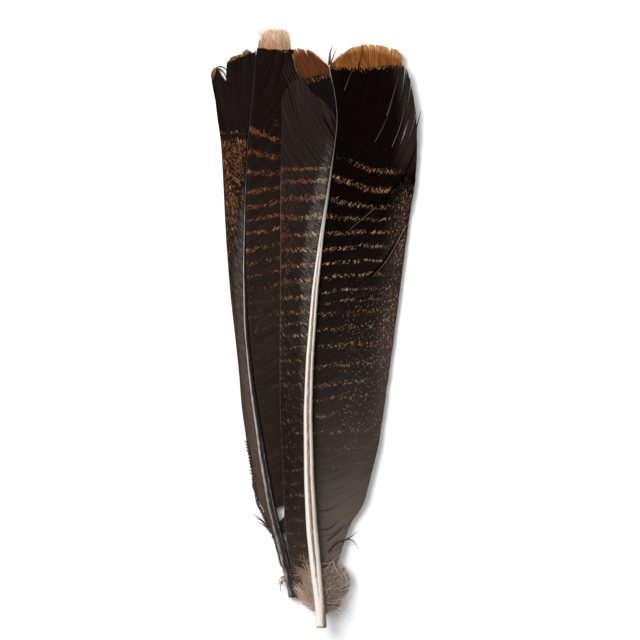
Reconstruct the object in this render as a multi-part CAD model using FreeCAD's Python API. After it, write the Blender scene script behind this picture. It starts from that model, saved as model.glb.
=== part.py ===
import FreeCAD, Part
import math
import os

# Two long barred tail feathers, each cut square at the quill, lying one across the other.
# Millimetres. +Y runs to the feather tips, +X to the right, +Z up from the table.
# The lower feather lies with its glossy outer face up, so it arches over the table.
# The upper feather lies with its grooved under face up, across the lower one's wide vane,
# so its quill end and its tip are lifted and its right-hand vane rests on the table.

# Thicknesses of the horny and soft tissue
WALL = 0.45
VANE_THICKNESS = 0.5
FLUFF_THICKNESS = 1.8
CAP_THICKNESS = 0.3

# Depth from the cut end to the first dried pulp cap in the barrel, and the spacing of the caps
FIRST_CAP = 16.0
CAP_SPACING = 4.0
CAP_COUNT = 3

# The vanes leave the shaft nearer its outer (back) face, by this share of the shaft's height
ATTACH_SHARE = 0.22

# Cut-off pieces smaller than this, in cubic millimetres, are left out
SLIVER = 0.5

# Gap between a shaft and the roots of its vanes
ROOT_GAP = 0.02

# A vane's root runs inside the shaft, this far to its own side of the centreline
ROOT_OFFSET = 0.12

# A root's curve leaves out shaft stations that lie this near its ends
STATION_MARGIN = 4.0

# How far past its edge a vane's surface carries on, for the loose barbs that stand out there
SURFACE_REACH = 1.45

# Prisms that cut the vanes to their outlines run from below the table to above the feathers
PRISM_FLOOR = -10.0
PRISM_HEIGHT = 60.0

# Half profile of a shaft as side and height shares, from the back face to the grooved face
HALF_PROFILE = [(0.0, 1.0), (0.58, 0.86), (0.93, 0.42), (1.0, -0.2), (0.8, -0.78), (0.36, -1.0)]
GROOVE_SHARE = 0.22

# The quill becomes the shaft at this station; the first two stations bound the straight barrel
SHAFT_START = 2

# Shaft stations from the cut end to the tip: x, y, z of the centre, width, height.
LOWER_SHAFT = [
    (-12.5, -154.5, 2.9, 5.3, 5.3),
    (-15.1, -143.9, 3.0, 5.3, 5.3),
    (-19.8, -125.0, 3.4, 5.2, 5.2),
    (-25.5, -102.3, 4.0, 4.8, 5.0),
    (-30.2, -75.9, 4.7, 4.2, 4.6),
    (-36.8, -30.5, 5.4, 3.0, 3.7),
    (-39.9, 0.0, 5.3, 2.4, 3.1),
    (-40.9, 35.0, 4.6, 1.7, 2.3),
    (-40.1, 78.9, 3.5, 1.1, 1.5),
    (-38.8, 107.4, 2.8, 0.8, 1.1),
    (-36.1, 133.2, 2.3, 0.7, 0.9),
    (-34.0, 157.7, 2.0, 0.6, 0.8),
]
UPPER_SHAFT = [
    (3.3, -170.4, 11.6, 5.9, 5.9),
    (2.4, -158.1, 10.8, 5.9, 5.9),
    (0.2, -140.0, 9.6, 6.3, 6.2),
    (-2.3, -115.6, 8.1, 6.5, 6.3),
    (-3.9, -87.2, 6.9, 5.7, 5.9),
    (-4.6, -50.0, 5.7, 4.9, 5.1),
    (-3.6, -20.0, 5.1, 4.4, 4.6),
    (-0.6, 20.0, 4.6, 3.6, 3.8),
    (2.9, 49.6, 4.4, 2.6, 3.0),
    (6.6, 74.4, 4.3, 1.8, 2.2),
    (10.4, 101.0, 4.3, 1.1, 1.5),
    (12.4, 118.0, 4.5, 0.8, 1.1),
    (10.8, 133.1, 4.8, 0.7, 1.0),
    (7.0, 148.7, 5.2, 0.6, 0.9),
]

# Vane surfaces across each side of a shaft: y, width, height of the edge, sag in mid vane
LOWER_LEFT_SURFACE = [
    (-165.0, 8.0, 2.2, 0.0),
    (-125.0, 8.0, 2.6, 0.2),
    (-75.0, 8.0, 3.4, 0.3),
    (-25.0, 8.0, 3.9, 0.3),
    (25.0, 10.0, 2.9, 0.2),
    (75.0, 13.0, 1.5, -0.1),
    (115.0, 17.0, 0.7, -0.2),
    (150.0, 24.0, 0.6, -0.3),
    (175.0, 24.0, 0.6, -0.3),
]
LOWER_RIGHT_SURFACE = [
    (-165.0, 10.0, 1.2, 0.0),
    (-125.0, 12.0, 1.0, 0.2),
    (-75.0, 19.0, 0.4, 0.5),
    (-25.0, 30.0, 0.3, 0.6),
    (25.0, 35.0, 0.3, 0.5),
    (75.0, 35.0, 0.3, 0.3),
    (115.0, 32.0, 0.3, 0.0),
    (150.0, 28.0, 0.4, -0.2),
    (175.0, 28.0, 0.6, -0.2),
]
UPPER_LEFT_SURFACE = [
    (-175.0, 14.0, 9.4, 0.3),
    (-140.0, 16.0, 7.9, 0.3),
    (-100.0, 15.0, 6.2, 0.3),
    (-50.0, 16.0, 5.0, 0.3),
    (0.0, 18.0, 4.6, 0.3),
    (50.0, 23.0, 4.4, 0.3),
    (100.0, 30.0, 4.6, 0.3),
    (150.0, 22.0, 5.8, 0.3),
    (175.0, 22.0, 7.0, 0.3),
]
UPPER_RIGHT_SURFACE = [
    (-175.0, 14.0, 8.4, 1.4),
    (-140.0, 15.0, 6.3, 1.4),
    (-100.0, 30.0, 4.6, 2.8),
    (-50.0, 43.0, 3.4, 3.4),
    (0.0, 48.0, 2.8, 2.9),
    (50.0, 49.0, 2.6, 2.6),
    (100.0, 47.0, 2.9, 2.9),
    (150.0, 44.0, 4.6, 3.0),
    (175.0, 44.0, 6.8, 3.0),
]


def vec(x, y, z=0.0):
    return FreeCAD.Vector(x, y, z)


def unit(vector):
    return FreeCAD.Vector(vector).normalize()


def between(table, y, column):
    """Value of a station table's column at y, in a straight line between stations."""
    y_column = 1 if len(table[0]) == 5 else 0
    for before, after in zip(table, table[1:]):
        if y <= after[y_column]:
            share = (y - before[y_column]) / (after[y_column] - before[y_column])
            return before[column] + max(share, 0.0) * (after[column] - before[column])
    return table[-1][column]


def centre(station):
    return vec(station[0], station[1], station[2])


def tangents(shaft):
    """Direction of the shaft at each station, straight along the barrel."""
    directions = [unit(centre(shaft[1]) - centre(shaft[0]))] * 2
    for before, after in zip(shaft[1:], shaft[3:]):
        directions.append(unit(centre(after) - centre(before)))
    directions.append(unit(centre(shaft[-1]) - centre(shaft[-2])))
    return directions


def circle_section(station, direction, inset):
    circle = Part.Circle(centre(station), direction, station[3] / 2 - inset)
    return Part.Wire([circle.toShape()])


def shaft_section(station, direction, back, inset, roundness):
    """Closed profile of the shaft: back is +1 with the back face up, -1 with the groove up."""
    side = unit(direction.cross(vec(0, 0, 1)))
    up = side.cross(direction) * back
    shares = list(HALF_PROFILE)
    shares.append((0.0, -1.0 + GROOVE_SHARE))
    shares.extend((-across, rise) for across, rise in reversed(HALF_PROFILE[1:]))
    half_width = station[3] / 2 - inset
    half_height = station[4] / 2 - inset
    points = []
    for number, (across, rise) in enumerate(shares):
        angle = 2 * math.pi * number / len(shares)
        across += roundness * (math.sin(angle) - across)
        rise += roundness * (math.cos(angle) - rise)
        points.append(centre(station) + side * (half_width * across) + up * (half_height * rise))
    curve = Part.BSplineCurve()
    curve.interpolate(Points=points, PeriodicFlag=True)
    return Part.Wire([curve.toShape()])


def shaft_solid(shaft, back, inset, first, last):
    """Loft of the shaft between two stations, round like the barrel as far as the third one."""
    directions = tangents(shaft)
    sections = []
    for number in range(first, last + 1):
        roundness = min(1.0, max(0.0, 1.0 - 0.5 * (number - SHAFT_START)))
        sections.append(shaft_section(shaft[number], directions[number], back, inset, roundness))
    return Part.makeLoft(sections, True, True)


def barrel_solid(shaft, inset):
    """Straight cylinder at the cut end, then the round quill as far as the third station."""
    directions = tangents(shaft)
    start = centre(shaft[0])
    length = (centre(shaft[1]) - start).Length
    straight = Part.makeCylinder(shaft[0][3] / 2 - inset, length, start, directions[0])
    sections = [circle_section(shaft[n], directions[n], inset) for n in (1, SHAFT_START)]
    return straight.fuse(Part.makeLoft(sections, True, True)).removeSplitter()


def pulp_caps(shaft, lumen):
    """Dried pulp membranes that stand across the hollow of the barrel."""
    direction = tangents(shaft)[0]
    caps = []
    for number in range(CAP_COUNT):
        foot = centre(shaft[0]) + direction * (FIRST_CAP + number * CAP_SPACING)
        disc = Part.makeCylinder(shaft[0][3], CAP_THICKNESS, foot, direction)
        caps.append(disc.common(lumen))
    return Part.makeCompound(caps)


def vane_surface(shaft, table, side, back, thickness):
    """Thin cambered plate on one side of a shaft: side is -1 to the left, +1 to the right."""
    sections = []
    for y, width, edge_height, sag in table:
        shaft_x = between(shaft, y, 0)
        root_height = between(shaft, y, 2) + back * ATTACH_SHARE * between(shaft, y, 4)
        upper = []
        lower = []
        for share in (-0.1, 0.25, 0.5, 0.75, 1.0, SURFACE_REACH):
            rise = (edge_height - root_height) * min(share, 1.0)
            if share > 1.0 and sag > 1.0:
                rise += sag * (share - 1.0)
            height = root_height + rise - 4 * sag * share * (1.0 - min(share, 1.0))
            x = shaft_x + side * share * width
            upper.append(vec(x, y, height + thickness / 2))
            lower.append(vec(x, y, height - thickness / 2))
        top = Part.BSplineCurve()
        top.interpolate(upper)
        bottom = Part.BSplineCurve()
        bottom.interpolate(lower)
        start = Part.makeLine(lower[0], upper[0])
        end = Part.makeLine(upper[-1], lower[-1])
        sections.append(Part.Wire([start, top.toShape(), end, bottom.toShape()]))
    return outward(Part.makeLoft(sections, True, False))


def outward(solid):
    """The same solid with its faces turned outwards, whichever way its outline ran."""
    return solid.reversed() if solid.Volume < 0 else solid


def prism(*strokes):
    """Upright prism on a closed outline. A stroke of two points is straight, others are curves."""
    edges = []
    for stroke in strokes:
        points = [vec(x, y, PRISM_FLOOR) for x, y in stroke]
        if len(points) == 2:
            edges.append(Part.makeLine(points[0], points[1]))
        else:
            curve = Part.BSplineCurve()
            curve.interpolate(points)
            edges.append(curve.toShape())
    return outward(Part.Face(Part.Wire(edges)).extrude(vec(0, 0, PRISM_HEIGHT)))


def root_point(shaft, side, y):
    """Point inside the shaft in plan, just to one side of its centreline."""
    return (between(shaft, y, 0) + side * ROOT_OFFSET, y)


def along_shaft(shaft, side, y_from, y_to):
    """Points inside the shaft in plan, beside its centreline, from one y to another."""
    low = min(y_from, y_to) + STATION_MARGIN
    high = max(y_from, y_to) - STATION_MARGIN
    heights = [station[1] for station in shaft if low < station[1] < high]
    if y_from > y_to:
        heights.reverse()
    return [root_point(shaft, side, y) for y in [y_from] + heights + [y_to]]


def barb(root, tip, width):
    """Prism for one loose barb: a narrow kite from its root to its tip."""
    run = unit(vec(tip[0] - root[0], tip[1] - root[1]))
    half = vec(-run.y, run.x) * (width / 2)
    left = (root[0] + half.x, root[1] + half.y)
    right = (root[0] - half.x, root[1] - half.y)
    tip_left = (tip[0] + half.x / 2, tip[1] + half.y / 2)
    tip_right = (tip[0] - half.x / 2, tip[1] - half.y / 2)
    return prism([left, tip_left], [tip_left, tip_right], [tip_right, right], [right, left])


def trimmed(surface, outline, neighbours=()):
    """Piece of a surface inside an outline, less what its neighbours fill and any sliver."""
    piece = surface.common(outline)
    if neighbours:
        piece = piece.cut(list(neighbours))
    return Part.makeCompound([solid for solid in piece.Solids if solid.Volume > SLIVER])


def shaft_nodes(prefix, shaft, back, pith_end):
    """Barrel, caps, shaft and pith of one feather, and the envelope that its vanes stop at."""
    lumen = barrel_solid(shaft, WALL)
    pith = shaft_solid(shaft, back, WALL, SHAFT_START, pith_end)
    tip = len(shaft) - 1
    nodes = {
        prefix + "_barrel": barrel_solid(shaft, 0.0).cut(lumen),
        prefix + "_pulp_caps": pulp_caps(shaft, lumen),
        prefix + "_shaft": shaft_solid(shaft, back, 0.0, SHAFT_START, tip).cut(pith),
        prefix + "_pith": pith,
    }
    return nodes, shaft_solid(shaft, back, -ROOT_GAP, 0, tip)


def lower_feather():
    nodes, envelope = shaft_nodes("lower", LOWER_SHAFT, 1, 7)
    left = vane_surface(LOWER_SHAFT, LOWER_LEFT_SURFACE, -1, 1, VANE_THICKNESS).cut(envelope)
    right = vane_surface(LOWER_SHAFT, LOWER_RIGHT_SURFACE, 1, 1, VANE_THICKNESS).cut(envelope)
    fluff = vane_surface(LOWER_SHAFT, LOWER_LEFT_SURFACE, -1, 1, FLUFF_THICKNESS).cut(envelope)

    def outer_root(y):
        return root_point(LOWER_SHAFT, -1, y)

    def inner_root(y):
        return root_point(LOWER_SHAFT, 1, y)

    outer_vane = prism(
        along_shaft(LOWER_SHAFT, -1, 88.0, -140.0),
        [outer_root(-140.0), (-20.6, -136.0)],
        [(-20.6, -136.0), (-23.6, -123.0), (-27.4, -112.7), (-33.6, -100.4), (-36.4, -81.5),
         (-42.5, -42.8), (-45.8, -1.4), (-50.6, 53.4), (-53.9, 108.6)],
        [(-53.9, 108.6), outer_root(88.0)],
    )
    outer_tip = prism(
        along_shaft(LOWER_SHAFT, -1, 88.6, 157.4),
        [outer_root(157.4), (-39.7, 156.8), (-45.0, 155.4), (-50.6, 151.6)],
        [(-50.6, 151.6), (-49.6, 128.0)],
        [(-49.6, 128.0), outer_root(88.6)],
    )
    tip_curl = prism(
        [(-40.6, 89.4), (-50.2, 128.4)],
        [(-50.2, 128.4), (-53.6, 140.0), (-57.2, 148.3)],
        [(-57.2, 148.3), (-59.5, 145.5), (-57.6, 130.4), (-54.0, 109.3)],
        [(-54.0, 109.3), (-40.6, 89.4)],
    )
    inner_vane = prism(
        along_shaft(LOWER_SHAFT, 1, -127.0, 127.0),
        [inner_root(127.0), (-33.0, 130.6), (-18.6, 145.8), (-13.6, 157.4)],
        [(-13.6, 157.4), (-9.0, 157.2)],
        [(-9.0, 157.2), (-7.0, 130.0), (-5.6, 80.0), (-5.8, 25.0), (-8.5, -35.0), (-13.0, -75.0),
         (-17.5, -112.0), inner_root(-127.0)],
    )
    inner_tip = prism(
        along_shaft(LOWER_SHAFT, 1, 127.6, 157.4),
        [inner_root(157.4), (-14.2, 157.4)],
        [(-14.2, 157.4), (-19.0, 146.3), (-33.2, 131.2), inner_root(127.6)],
    )
    buff_tip = prism(
        [(-33.2, 157.4), (-33.4, 165.0), (-31.0, 170.3), (-24.0, 170.6), (-18.0, 169.0),
         (-14.4, 164.5), (-14.2, 157.4)],
        [(-14.2, 157.4), (-33.2, 157.4)],
    )
    base_tuft = prism(
        along_shaft(LOWER_SHAFT, -1, -152.0, -140.6),
        [outer_root(-140.6), (-21.6, -141.0)],
        [(-21.6, -141.0), (-22.4, -146.0), (-18.5, -153.2), outer_root(-152.0)],
    )
    nodes["lower_outer_vane"] = trimmed(left, outer_vane)
    nodes["lower_outer_tip"] = trimmed(left, outer_tip)
    nodes["lower_tip_curl"] = trimmed(left, tip_curl)
    nodes["lower_inner_vane"] = trimmed(right, inner_vane)
    nodes["lower_inner_tip"] = trimmed(right, inner_tip)
    nodes["lower_buff_tip"] = trimmed(right, buff_tip)
    nodes["lower_base_tuft"] = trimmed(fluff, base_tuft)

    # Barbs that stick out of the worn lower edge, pointing back towards the quill
    broken = [
        ((-34.2, -98.0), (-36.6, -103.6), 1.2),
        ((-31.6, -104.2), (-34.6, -110.0), 1.2),
        ((-28.9, -109.6), (-31.4, -114.6), 1.0),
        ((-25.0, -118.4), (-27.8, -121.6), 1.0),
    ]
    strands = [trimmed(left, barb(*strand), [nodes["lower_outer_vane"]]) for strand in broken]
    nodes["lower_broken_barbs"] = Part.makeCompound([s for group in strands for s in group.Solids])
    return nodes


def upper_feather():
    nodes, envelope = shaft_nodes("upper", UPPER_SHAFT, -1, 8)
    left = vane_surface(UPPER_SHAFT, UPPER_LEFT_SURFACE, -1, -1, VANE_THICKNESS).cut(envelope)
    right = vane_surface(UPPER_SHAFT, UPPER_RIGHT_SURFACE, 1, -1, VANE_THICKNESS).cut(envelope)
    left_fluff = vane_surface(UPPER_SHAFT, UPPER_LEFT_SURFACE, -1, -1, FLUFF_THICKNESS).cut(envelope)
    right_fluff = vane_surface(UPPER_SHAFT, UPPER_RIGHT_SURFACE, 1, -1, FLUFF_THICKNESS).cut(envelope)

    def narrow_root(y):
        return root_point(UPPER_SHAFT, -1, y)

    def wide_root(y):
        return root_point(UPPER_SHAFT, 1, y)

    # The narrow vane is whole up to its rounded shoulder; its tip clump has parted from it
    narrow_vane = prism(
        along_shaft(UPPER_SHAFT, -1, -139.0, 117.0),
        [narrow_root(117.0), (6.4, 126.2), (-2.3, 134.8), (-8.1, 141.3), (-14.8, 138.0), (-18.8, 129.0)],
        [(-18.8, 129.0), (-19.7, 89.0), (-20.1, 43.6), (-20.3, -2.0), (-20.4, -59.0),
         (-18.4, -87.5), (-17.6, -116.0), (-15.0, -134.0)],
        [(-15.0, -134.0), narrow_root(-139.0)],
    )
    narrow_tip = prism(
        along_shaft(UPPER_SHAFT, -1, 118.6, 148.4),
        [narrow_root(148.4), (3.2, 151.8), (-1.0, 156.2)],
        [(-1.0, 156.2), (-12.0, 157.4)],
        [(-12.0, 157.4), (-12.4, 150.0), (-8.0, 143.0)],
        [(-8.0, 143.0), (-1.6, 136.4), (7.2, 127.8), narrow_root(118.6)],
    )

    # The wide vane has parted along its barbs into five clumps, from the quill to the tip
    base_clump = prism(
        along_shaft(UPPER_SHAFT, 1, -137.0, 8.0),
        [wide_root(8.0), (28.0, 21.8), (42.0, 38.8), (52.4, 57.0)],
        [(52.4, 57.0), (47.8, 17.5), (43.0, -20.2), (39.3, -44.7), (35.9, -68.3), (31.2, -87.2),
         (26.4, -102.3), (19.9, -112.0), (17.2, -121.0), (13.0, -132.0)],
        [(13.0, -132.0), wide_root(-137.0)],
    )
    middle_clump = prism(
        along_shaft(UPPER_SHAFT, 1, 9.0, 41.0),
        [wide_root(41.0), (16.5, 51.2), (34.0, 64.0), (48.0, 77.6), (57.2, 96.6)],
        [(57.2, 96.6), (55.8, 77.4), (52.8, 58.4)],
        [(52.8, 58.4), (41.8, 39.7), (27.6, 22.6), wide_root(9.0)],
    )
    outer_clump = prism(
        along_shaft(UPPER_SHAFT, 1, 42.0, 76.0),
        [wide_root(76.0), (27.0, 104.0), (38.4, 135.0), (44.6, 157.4)],
        [(44.6, 157.4), (49.2, 155.2)],
        [(49.2, 155.2), (51.3, 145.5), (56.3, 129.4), (57.5, 115.2), (57.7, 98.6)],
        [(57.7, 98.6), (47.7, 78.5), (33.7, 64.8), (16.2, 52.1), wide_root(42.0)],
    )
    slit_clump = prism(
        along_shaft(UPPER_SHAFT, 1, 77.0, 93.0),
        [wide_root(93.0), (21.0, 112.0), (30.0, 138.0), (35.9, 159.8)],
        [(35.9, 159.8), (43.8, 157.8)],
        [(43.8, 157.8), (37.6, 135.4), (26.3, 104.6), wide_root(77.0)],
    )
    inner_clump = prism(
        along_shaft(UPPER_SHAFT, 1, 94.0, 146.0),
        [wide_root(146.0), (13.3, 153.9), (18.9, 158.2), (26.5, 160.4), (35.2, 160.0)],
        [(35.2, 160.0), (29.2, 138.3), (20.3, 112.6), wide_root(94.0)],
    )
    left_fluff_outline = prism(
        along_shaft(UPPER_SHAFT, -1, -156.6, -139.8),
        [narrow_root(-139.8), (-11.4, -136.6)],
        [(-11.4, -136.6), (-13.0, -145.0), (-10.8, -153.5), (-6.0, -156.8), narrow_root(-156.6)],
    )
    right_fluff_outline = prism(
        along_shaft(UPPER_SHAFT, 1, -156.6, -138.0),
        [wide_root(-138.0), (13.2, -133.0), (18.4, -139.0), (18.8, -148.0), (14.4, -155.4),
         (9.0, -157.2), wide_root(-156.6)],
    )
    nodes["upper_narrow_vane"] = trimmed(left, narrow_vane)
    nodes["upper_narrow_tip"] = trimmed(left, narrow_tip)
    nodes["upper_wide_base_clump"] = trimmed(right, base_clump)
    nodes["upper_wide_middle_clump"] = trimmed(right, middle_clump)
    nodes["upper_wide_outer_clump"] = trimmed(right, outer_clump)
    nodes["upper_wide_slit_clump"] = trimmed(right, slit_clump)
    nodes["upper_wide_inner_clump"] = trimmed(right, inner_clump)
    nodes["upper_left_fluff"] = trimmed(left_fluff, left_fluff_outline)
    nodes["upper_right_fluff"] = trimmed(right_fluff, right_fluff_outline, [nodes["upper_wide_base_clump"]])

    # Barbs that stand clear of the wide vane's edges
    loose = [
        ((56.6, 108.0), (59.6, 123.0), 1.0),
        ((26.4, 159.8), (27.4, 165.0), 0.8),
        ((13.0, 152.0), (10.6, 162.0), 0.8),
        ((18.0, -119.0), (24.6, -117.5), 0.9),
    ]
    clumps = [nodes[name] for name in nodes if "clump" in name]
    strands = [trimmed(right, barb(*strand), clumps) for strand in loose]
    nodes["upper_loose_barbs"] = Part.makeCompound([s for group in strands for s in group.Solids])
    return nodes


def export(nodes):
    """Stand the pair on z = 0 with its plan box centred on the origin, and write one file a node."""
    box = Part.makeCompound(list(nodes.values())).optimalBoundingBox(False)
    shift = vec(-(box.XMin + box.XMax) / 2, -(box.YMin + box.YMax) / 2, -box.ZMin)
    os.makedirs("parts", exist_ok=True)
    for name, shape in nodes.items():
        moved = shape.translated(shift)
        moved.exportStep("parts/" + name + ".step")
        print("%-26s solids %2d  volume %9.1f  valid %s" % (
            name, len(moved.Solids), moved.Volume, moved.isValid()))
    print("box %.2f x %.2f x %.2f" % (box.XLength, box.YLength, box.ZLength))
    print("shift", tuple(round(v, 4) for v in shift))
    for prefix, shaft in (("lower", LOWER_SHAFT), ("upper", UPPER_SHAFT)):
        end = centre(shaft[0]) + shift
        axis = tangents(shaft)[0] * -1
        print(prefix, "cut end", tuple(round(v, 4) for v in end), "axis",
              tuple(round(v, 6) for v in axis))


all_nodes = lower_feather()
all_nodes.update(upper_feather())
export(all_nodes)
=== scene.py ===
import math

import bmesh
import bpy
import numpy as np
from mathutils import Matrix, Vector
from mathutils.bvhtree import BVHTree


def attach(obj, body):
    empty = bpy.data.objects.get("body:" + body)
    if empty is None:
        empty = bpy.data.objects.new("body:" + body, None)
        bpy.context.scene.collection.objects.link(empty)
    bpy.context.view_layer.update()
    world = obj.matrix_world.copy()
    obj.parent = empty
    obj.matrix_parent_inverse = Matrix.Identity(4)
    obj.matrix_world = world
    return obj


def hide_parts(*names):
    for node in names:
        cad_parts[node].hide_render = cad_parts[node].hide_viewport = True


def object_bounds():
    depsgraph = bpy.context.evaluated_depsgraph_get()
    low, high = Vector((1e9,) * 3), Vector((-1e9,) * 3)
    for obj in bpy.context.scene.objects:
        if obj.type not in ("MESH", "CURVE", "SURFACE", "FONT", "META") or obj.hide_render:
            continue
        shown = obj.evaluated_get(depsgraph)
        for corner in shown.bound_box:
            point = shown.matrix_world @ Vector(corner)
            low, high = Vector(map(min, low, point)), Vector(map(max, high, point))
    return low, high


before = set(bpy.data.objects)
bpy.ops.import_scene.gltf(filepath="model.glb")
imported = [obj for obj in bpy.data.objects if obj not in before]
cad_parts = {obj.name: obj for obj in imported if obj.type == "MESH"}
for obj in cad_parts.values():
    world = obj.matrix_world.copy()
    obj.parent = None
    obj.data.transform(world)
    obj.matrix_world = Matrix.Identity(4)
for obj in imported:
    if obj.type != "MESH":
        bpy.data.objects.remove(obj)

# Two barred tail feathers, the upper one laid across the lower one, tips towards +Y.
# Outlines are written in millimetres in plan; heights are measured on the CAD vanes and shafts.
# +X is to the right, +Z up. Side -1 is the vane to the left of a shaft, side +1 to its right.

MM = 0.001
CAD_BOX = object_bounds()

BARB_PITCH = 0.62          # spacing of the barbs across a vane
SEGMENTS = 30              # stretches along one barb
RIDGE = 0.16               # how far a barb's crest stands above the valley beside it
SHEET_HALF = 0.13          # half thickness of a vane
STRAND_POINTS = 16         # points along one loose barb
FILAMENT_STEPS = 14        # stretches along one filament of down
VALLEY_FALL = 0.8          # how far a valley's end falls back, as a share of the fray
WAVES = 5                  # slow waves that are laid over a vane
LOCK = 2.4                 # width of a lock of barbs that end together
SPLIT_REACH = 14.0         # rows over which a split's push dies away
FLOOR_CLEARANCE = 0.3      # lowest height of a vane's middle surface or of a strand
CAD_VANE_HALF = 0.25       # half thickness of the CAD vanes, whose top faces are measured
STREAK_SHIFT = 37.0        # sets the streaks of one vane apart from those of the next
WALL = 0.45                # wall of the hollow barrel
LUMEN_DEPTH = 15.5         # depth of the hollow at the cut end
NO_TIP = -20               # tip mark of a strand or vane with no tip band
BETWEEN_BARS = 0.5         # phase mark of a strand or vane with no bars

# Centres of the pale bars where they meet the shaft
LOWER_BARS = (20, 28, 35, 43, 52.5, 60, 66.8, 76, 87.7, 99.8, 112.8, 126)
NARROW_BARS = (-12, -5, 2, 8, 16.6, 26.2, 35.2, 44, 52.6, 62.5, 73.8, 83.4, 90.5)
WIDE_BARS = (-62, -52, -43, -35, -24, -13, -3, 6, 12.5, 18.5, 27, 35, 43.2, 52.4, 62.5, 73, 86.2, 98)

# Body that a piece rides on and material slot that it belongs to
DARK_FACE = ("lower_feather", "dark_face_vane")
UNDER_FACE = ("upper_feather", "under_face_vane")
UPPER_DOWN = ("upper_feather", "down")

MARKS = ("across", "along", "phase", "bars", "specks", "grey_and_sheen", "tip", "fade", "rust", "rim")


# ---------------------------------------------------------------- small tools

def srgb(red, green, blue):
    """Scene-linear colour from display values of 0 to 255."""
    def linear(value):
        value /= 255.0
        return value / 12.92 if value <= 0.04045 else ((value + 0.055) / 1.055) ** 2.4
    return linear(red), linear(green), linear(blue), 1.0


def smooth(stops, values, at):
    """Smooth curve through values at stops, by cubic pieces."""
    stops = np.asarray(stops, float)
    values = np.asarray(values, float)
    at = np.clip(np.asarray(at, float), stops[0], stops[-1])
    if len(stops) < 3:
        return np.interp(at, stops, values)
    slopes = np.gradient(values, stops)
    k = np.clip(np.searchsorted(stops, at, side="right") - 1, 0, len(stops) - 2)
    span = stops[k + 1] - stops[k]
    t = (at - stops[k]) / span
    return ((2 * t**3 - 3 * t**2 + 1) * values[k] + (t**3 - 2 * t**2 + t) * span * slopes[k]
            + (3 * t**2 - 2 * t**3) * values[k + 1] + (t**3 - t**2) * span * slopes[k + 1])


def ramp(value, low, high):
    """0 below low, 1 above high, smooth between them."""
    t = np.clip((np.asarray(value, float) - low) / (high - low), 0.0, 1.0)
    return t * t * (3 - 2 * t)


def blurred(values, width):
    """Values evened out along their first axis over a window of that many samples."""
    kernel = np.hanning(width + 2)[1:-1]
    kernel /= kernel.sum()
    pad = width // 2
    padded = np.concatenate([np.repeat(values[:1], pad, 0), values, np.repeat(values[-1:], pad, 0)])
    flat = padded.reshape(len(padded), -1)
    even = [np.convolve(flat[:, c], kernel, "valid") for c in range(flat.shape[1])]
    return np.stack(even, 1).reshape((len(even[0]),) + values.shape[1:])[:len(values)]


# ---------------------------------------------------------------- what the frame says

def gathered(nodes):
    """Points in millimetres, edges and faces of some CAD nodes together."""
    points, edges, faces = [], [], []
    for node in nodes:
        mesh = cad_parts[node].data
        offset = len(points)
        points.extend(v.co / MM for v in mesh.vertices)
        edges.extend([i + offset for i in e.vertices] for e in mesh.edges)
        faces.extend([i + offset for i in p.vertices] for p in mesh.polygons)
    return points, edges, faces


class Shaft:
    """Centreline and thickness of a feather's quill and shaft, measured on the CAD nodes."""

    STEP = 2.0                 # between the sections that are measured
    MARGIN = (2.0, 0.5)        # from the quill's ends to the first and last section
    WINDOW = 9                 # sections over which the measures are evened out

    def __init__(self, feather):
        points, edges, _ = gathered((feather + "_barrel", feather + "_shaft"))
        points, edges = np.array(points), np.array(edges)
        self.low = points[:, 1].min()
        self.high = points[:, 1].max()
        start, end = points[edges[:, 0]], points[edges[:, 1]]
        rows = []
        self.y = np.arange(self.low + self.MARGIN[0], self.high - self.MARGIN[1], self.STEP)
        for y in self.y:
            crossing = (start[:, 1] - y) * (end[:, 1] - y) < 0
            a, b = start[crossing], end[crossing]
            cut = a + (b - a) * ((y - a[:, 1]) / (b[:, 1] - a[:, 1]))[:, None]
            rows.append((cut[:, 0].min(), cut[:, 0].max(), cut[:, 2].min(), cut[:, 2].max()))
        self.table = blurred(np.array(rows), self.WINDOW)

    def read(self, y, column):
        """A measured column at y, carried on in a straight line past the ends."""
        y = np.asarray(y, float)
        values = self.table[:, column]
        inner = np.interp(y, self.y, values)
        first = (values[3] - values[0]) / (self.y[3] - self.y[0])
        last = (values[-1] - values[-4]) / (self.y[-1] - self.y[-4])
        inner = inner + np.minimum(y - self.y[0], 0) * first
        return inner + np.maximum(y - self.y[-1], 0) * last

    def x(self, y):
        return (self.read(y, 0) + self.read(y, 1)) / 2

    def z(self, y):
        return (self.read(y, 2) + self.read(y, 3)) / 2

    def half_width(self, y):
        return (self.read(y, 1) - self.read(y, 0)) / 2

    def half_height(self, y):
        return (self.read(y, 3) - self.read(y, 2)) / 2


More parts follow.
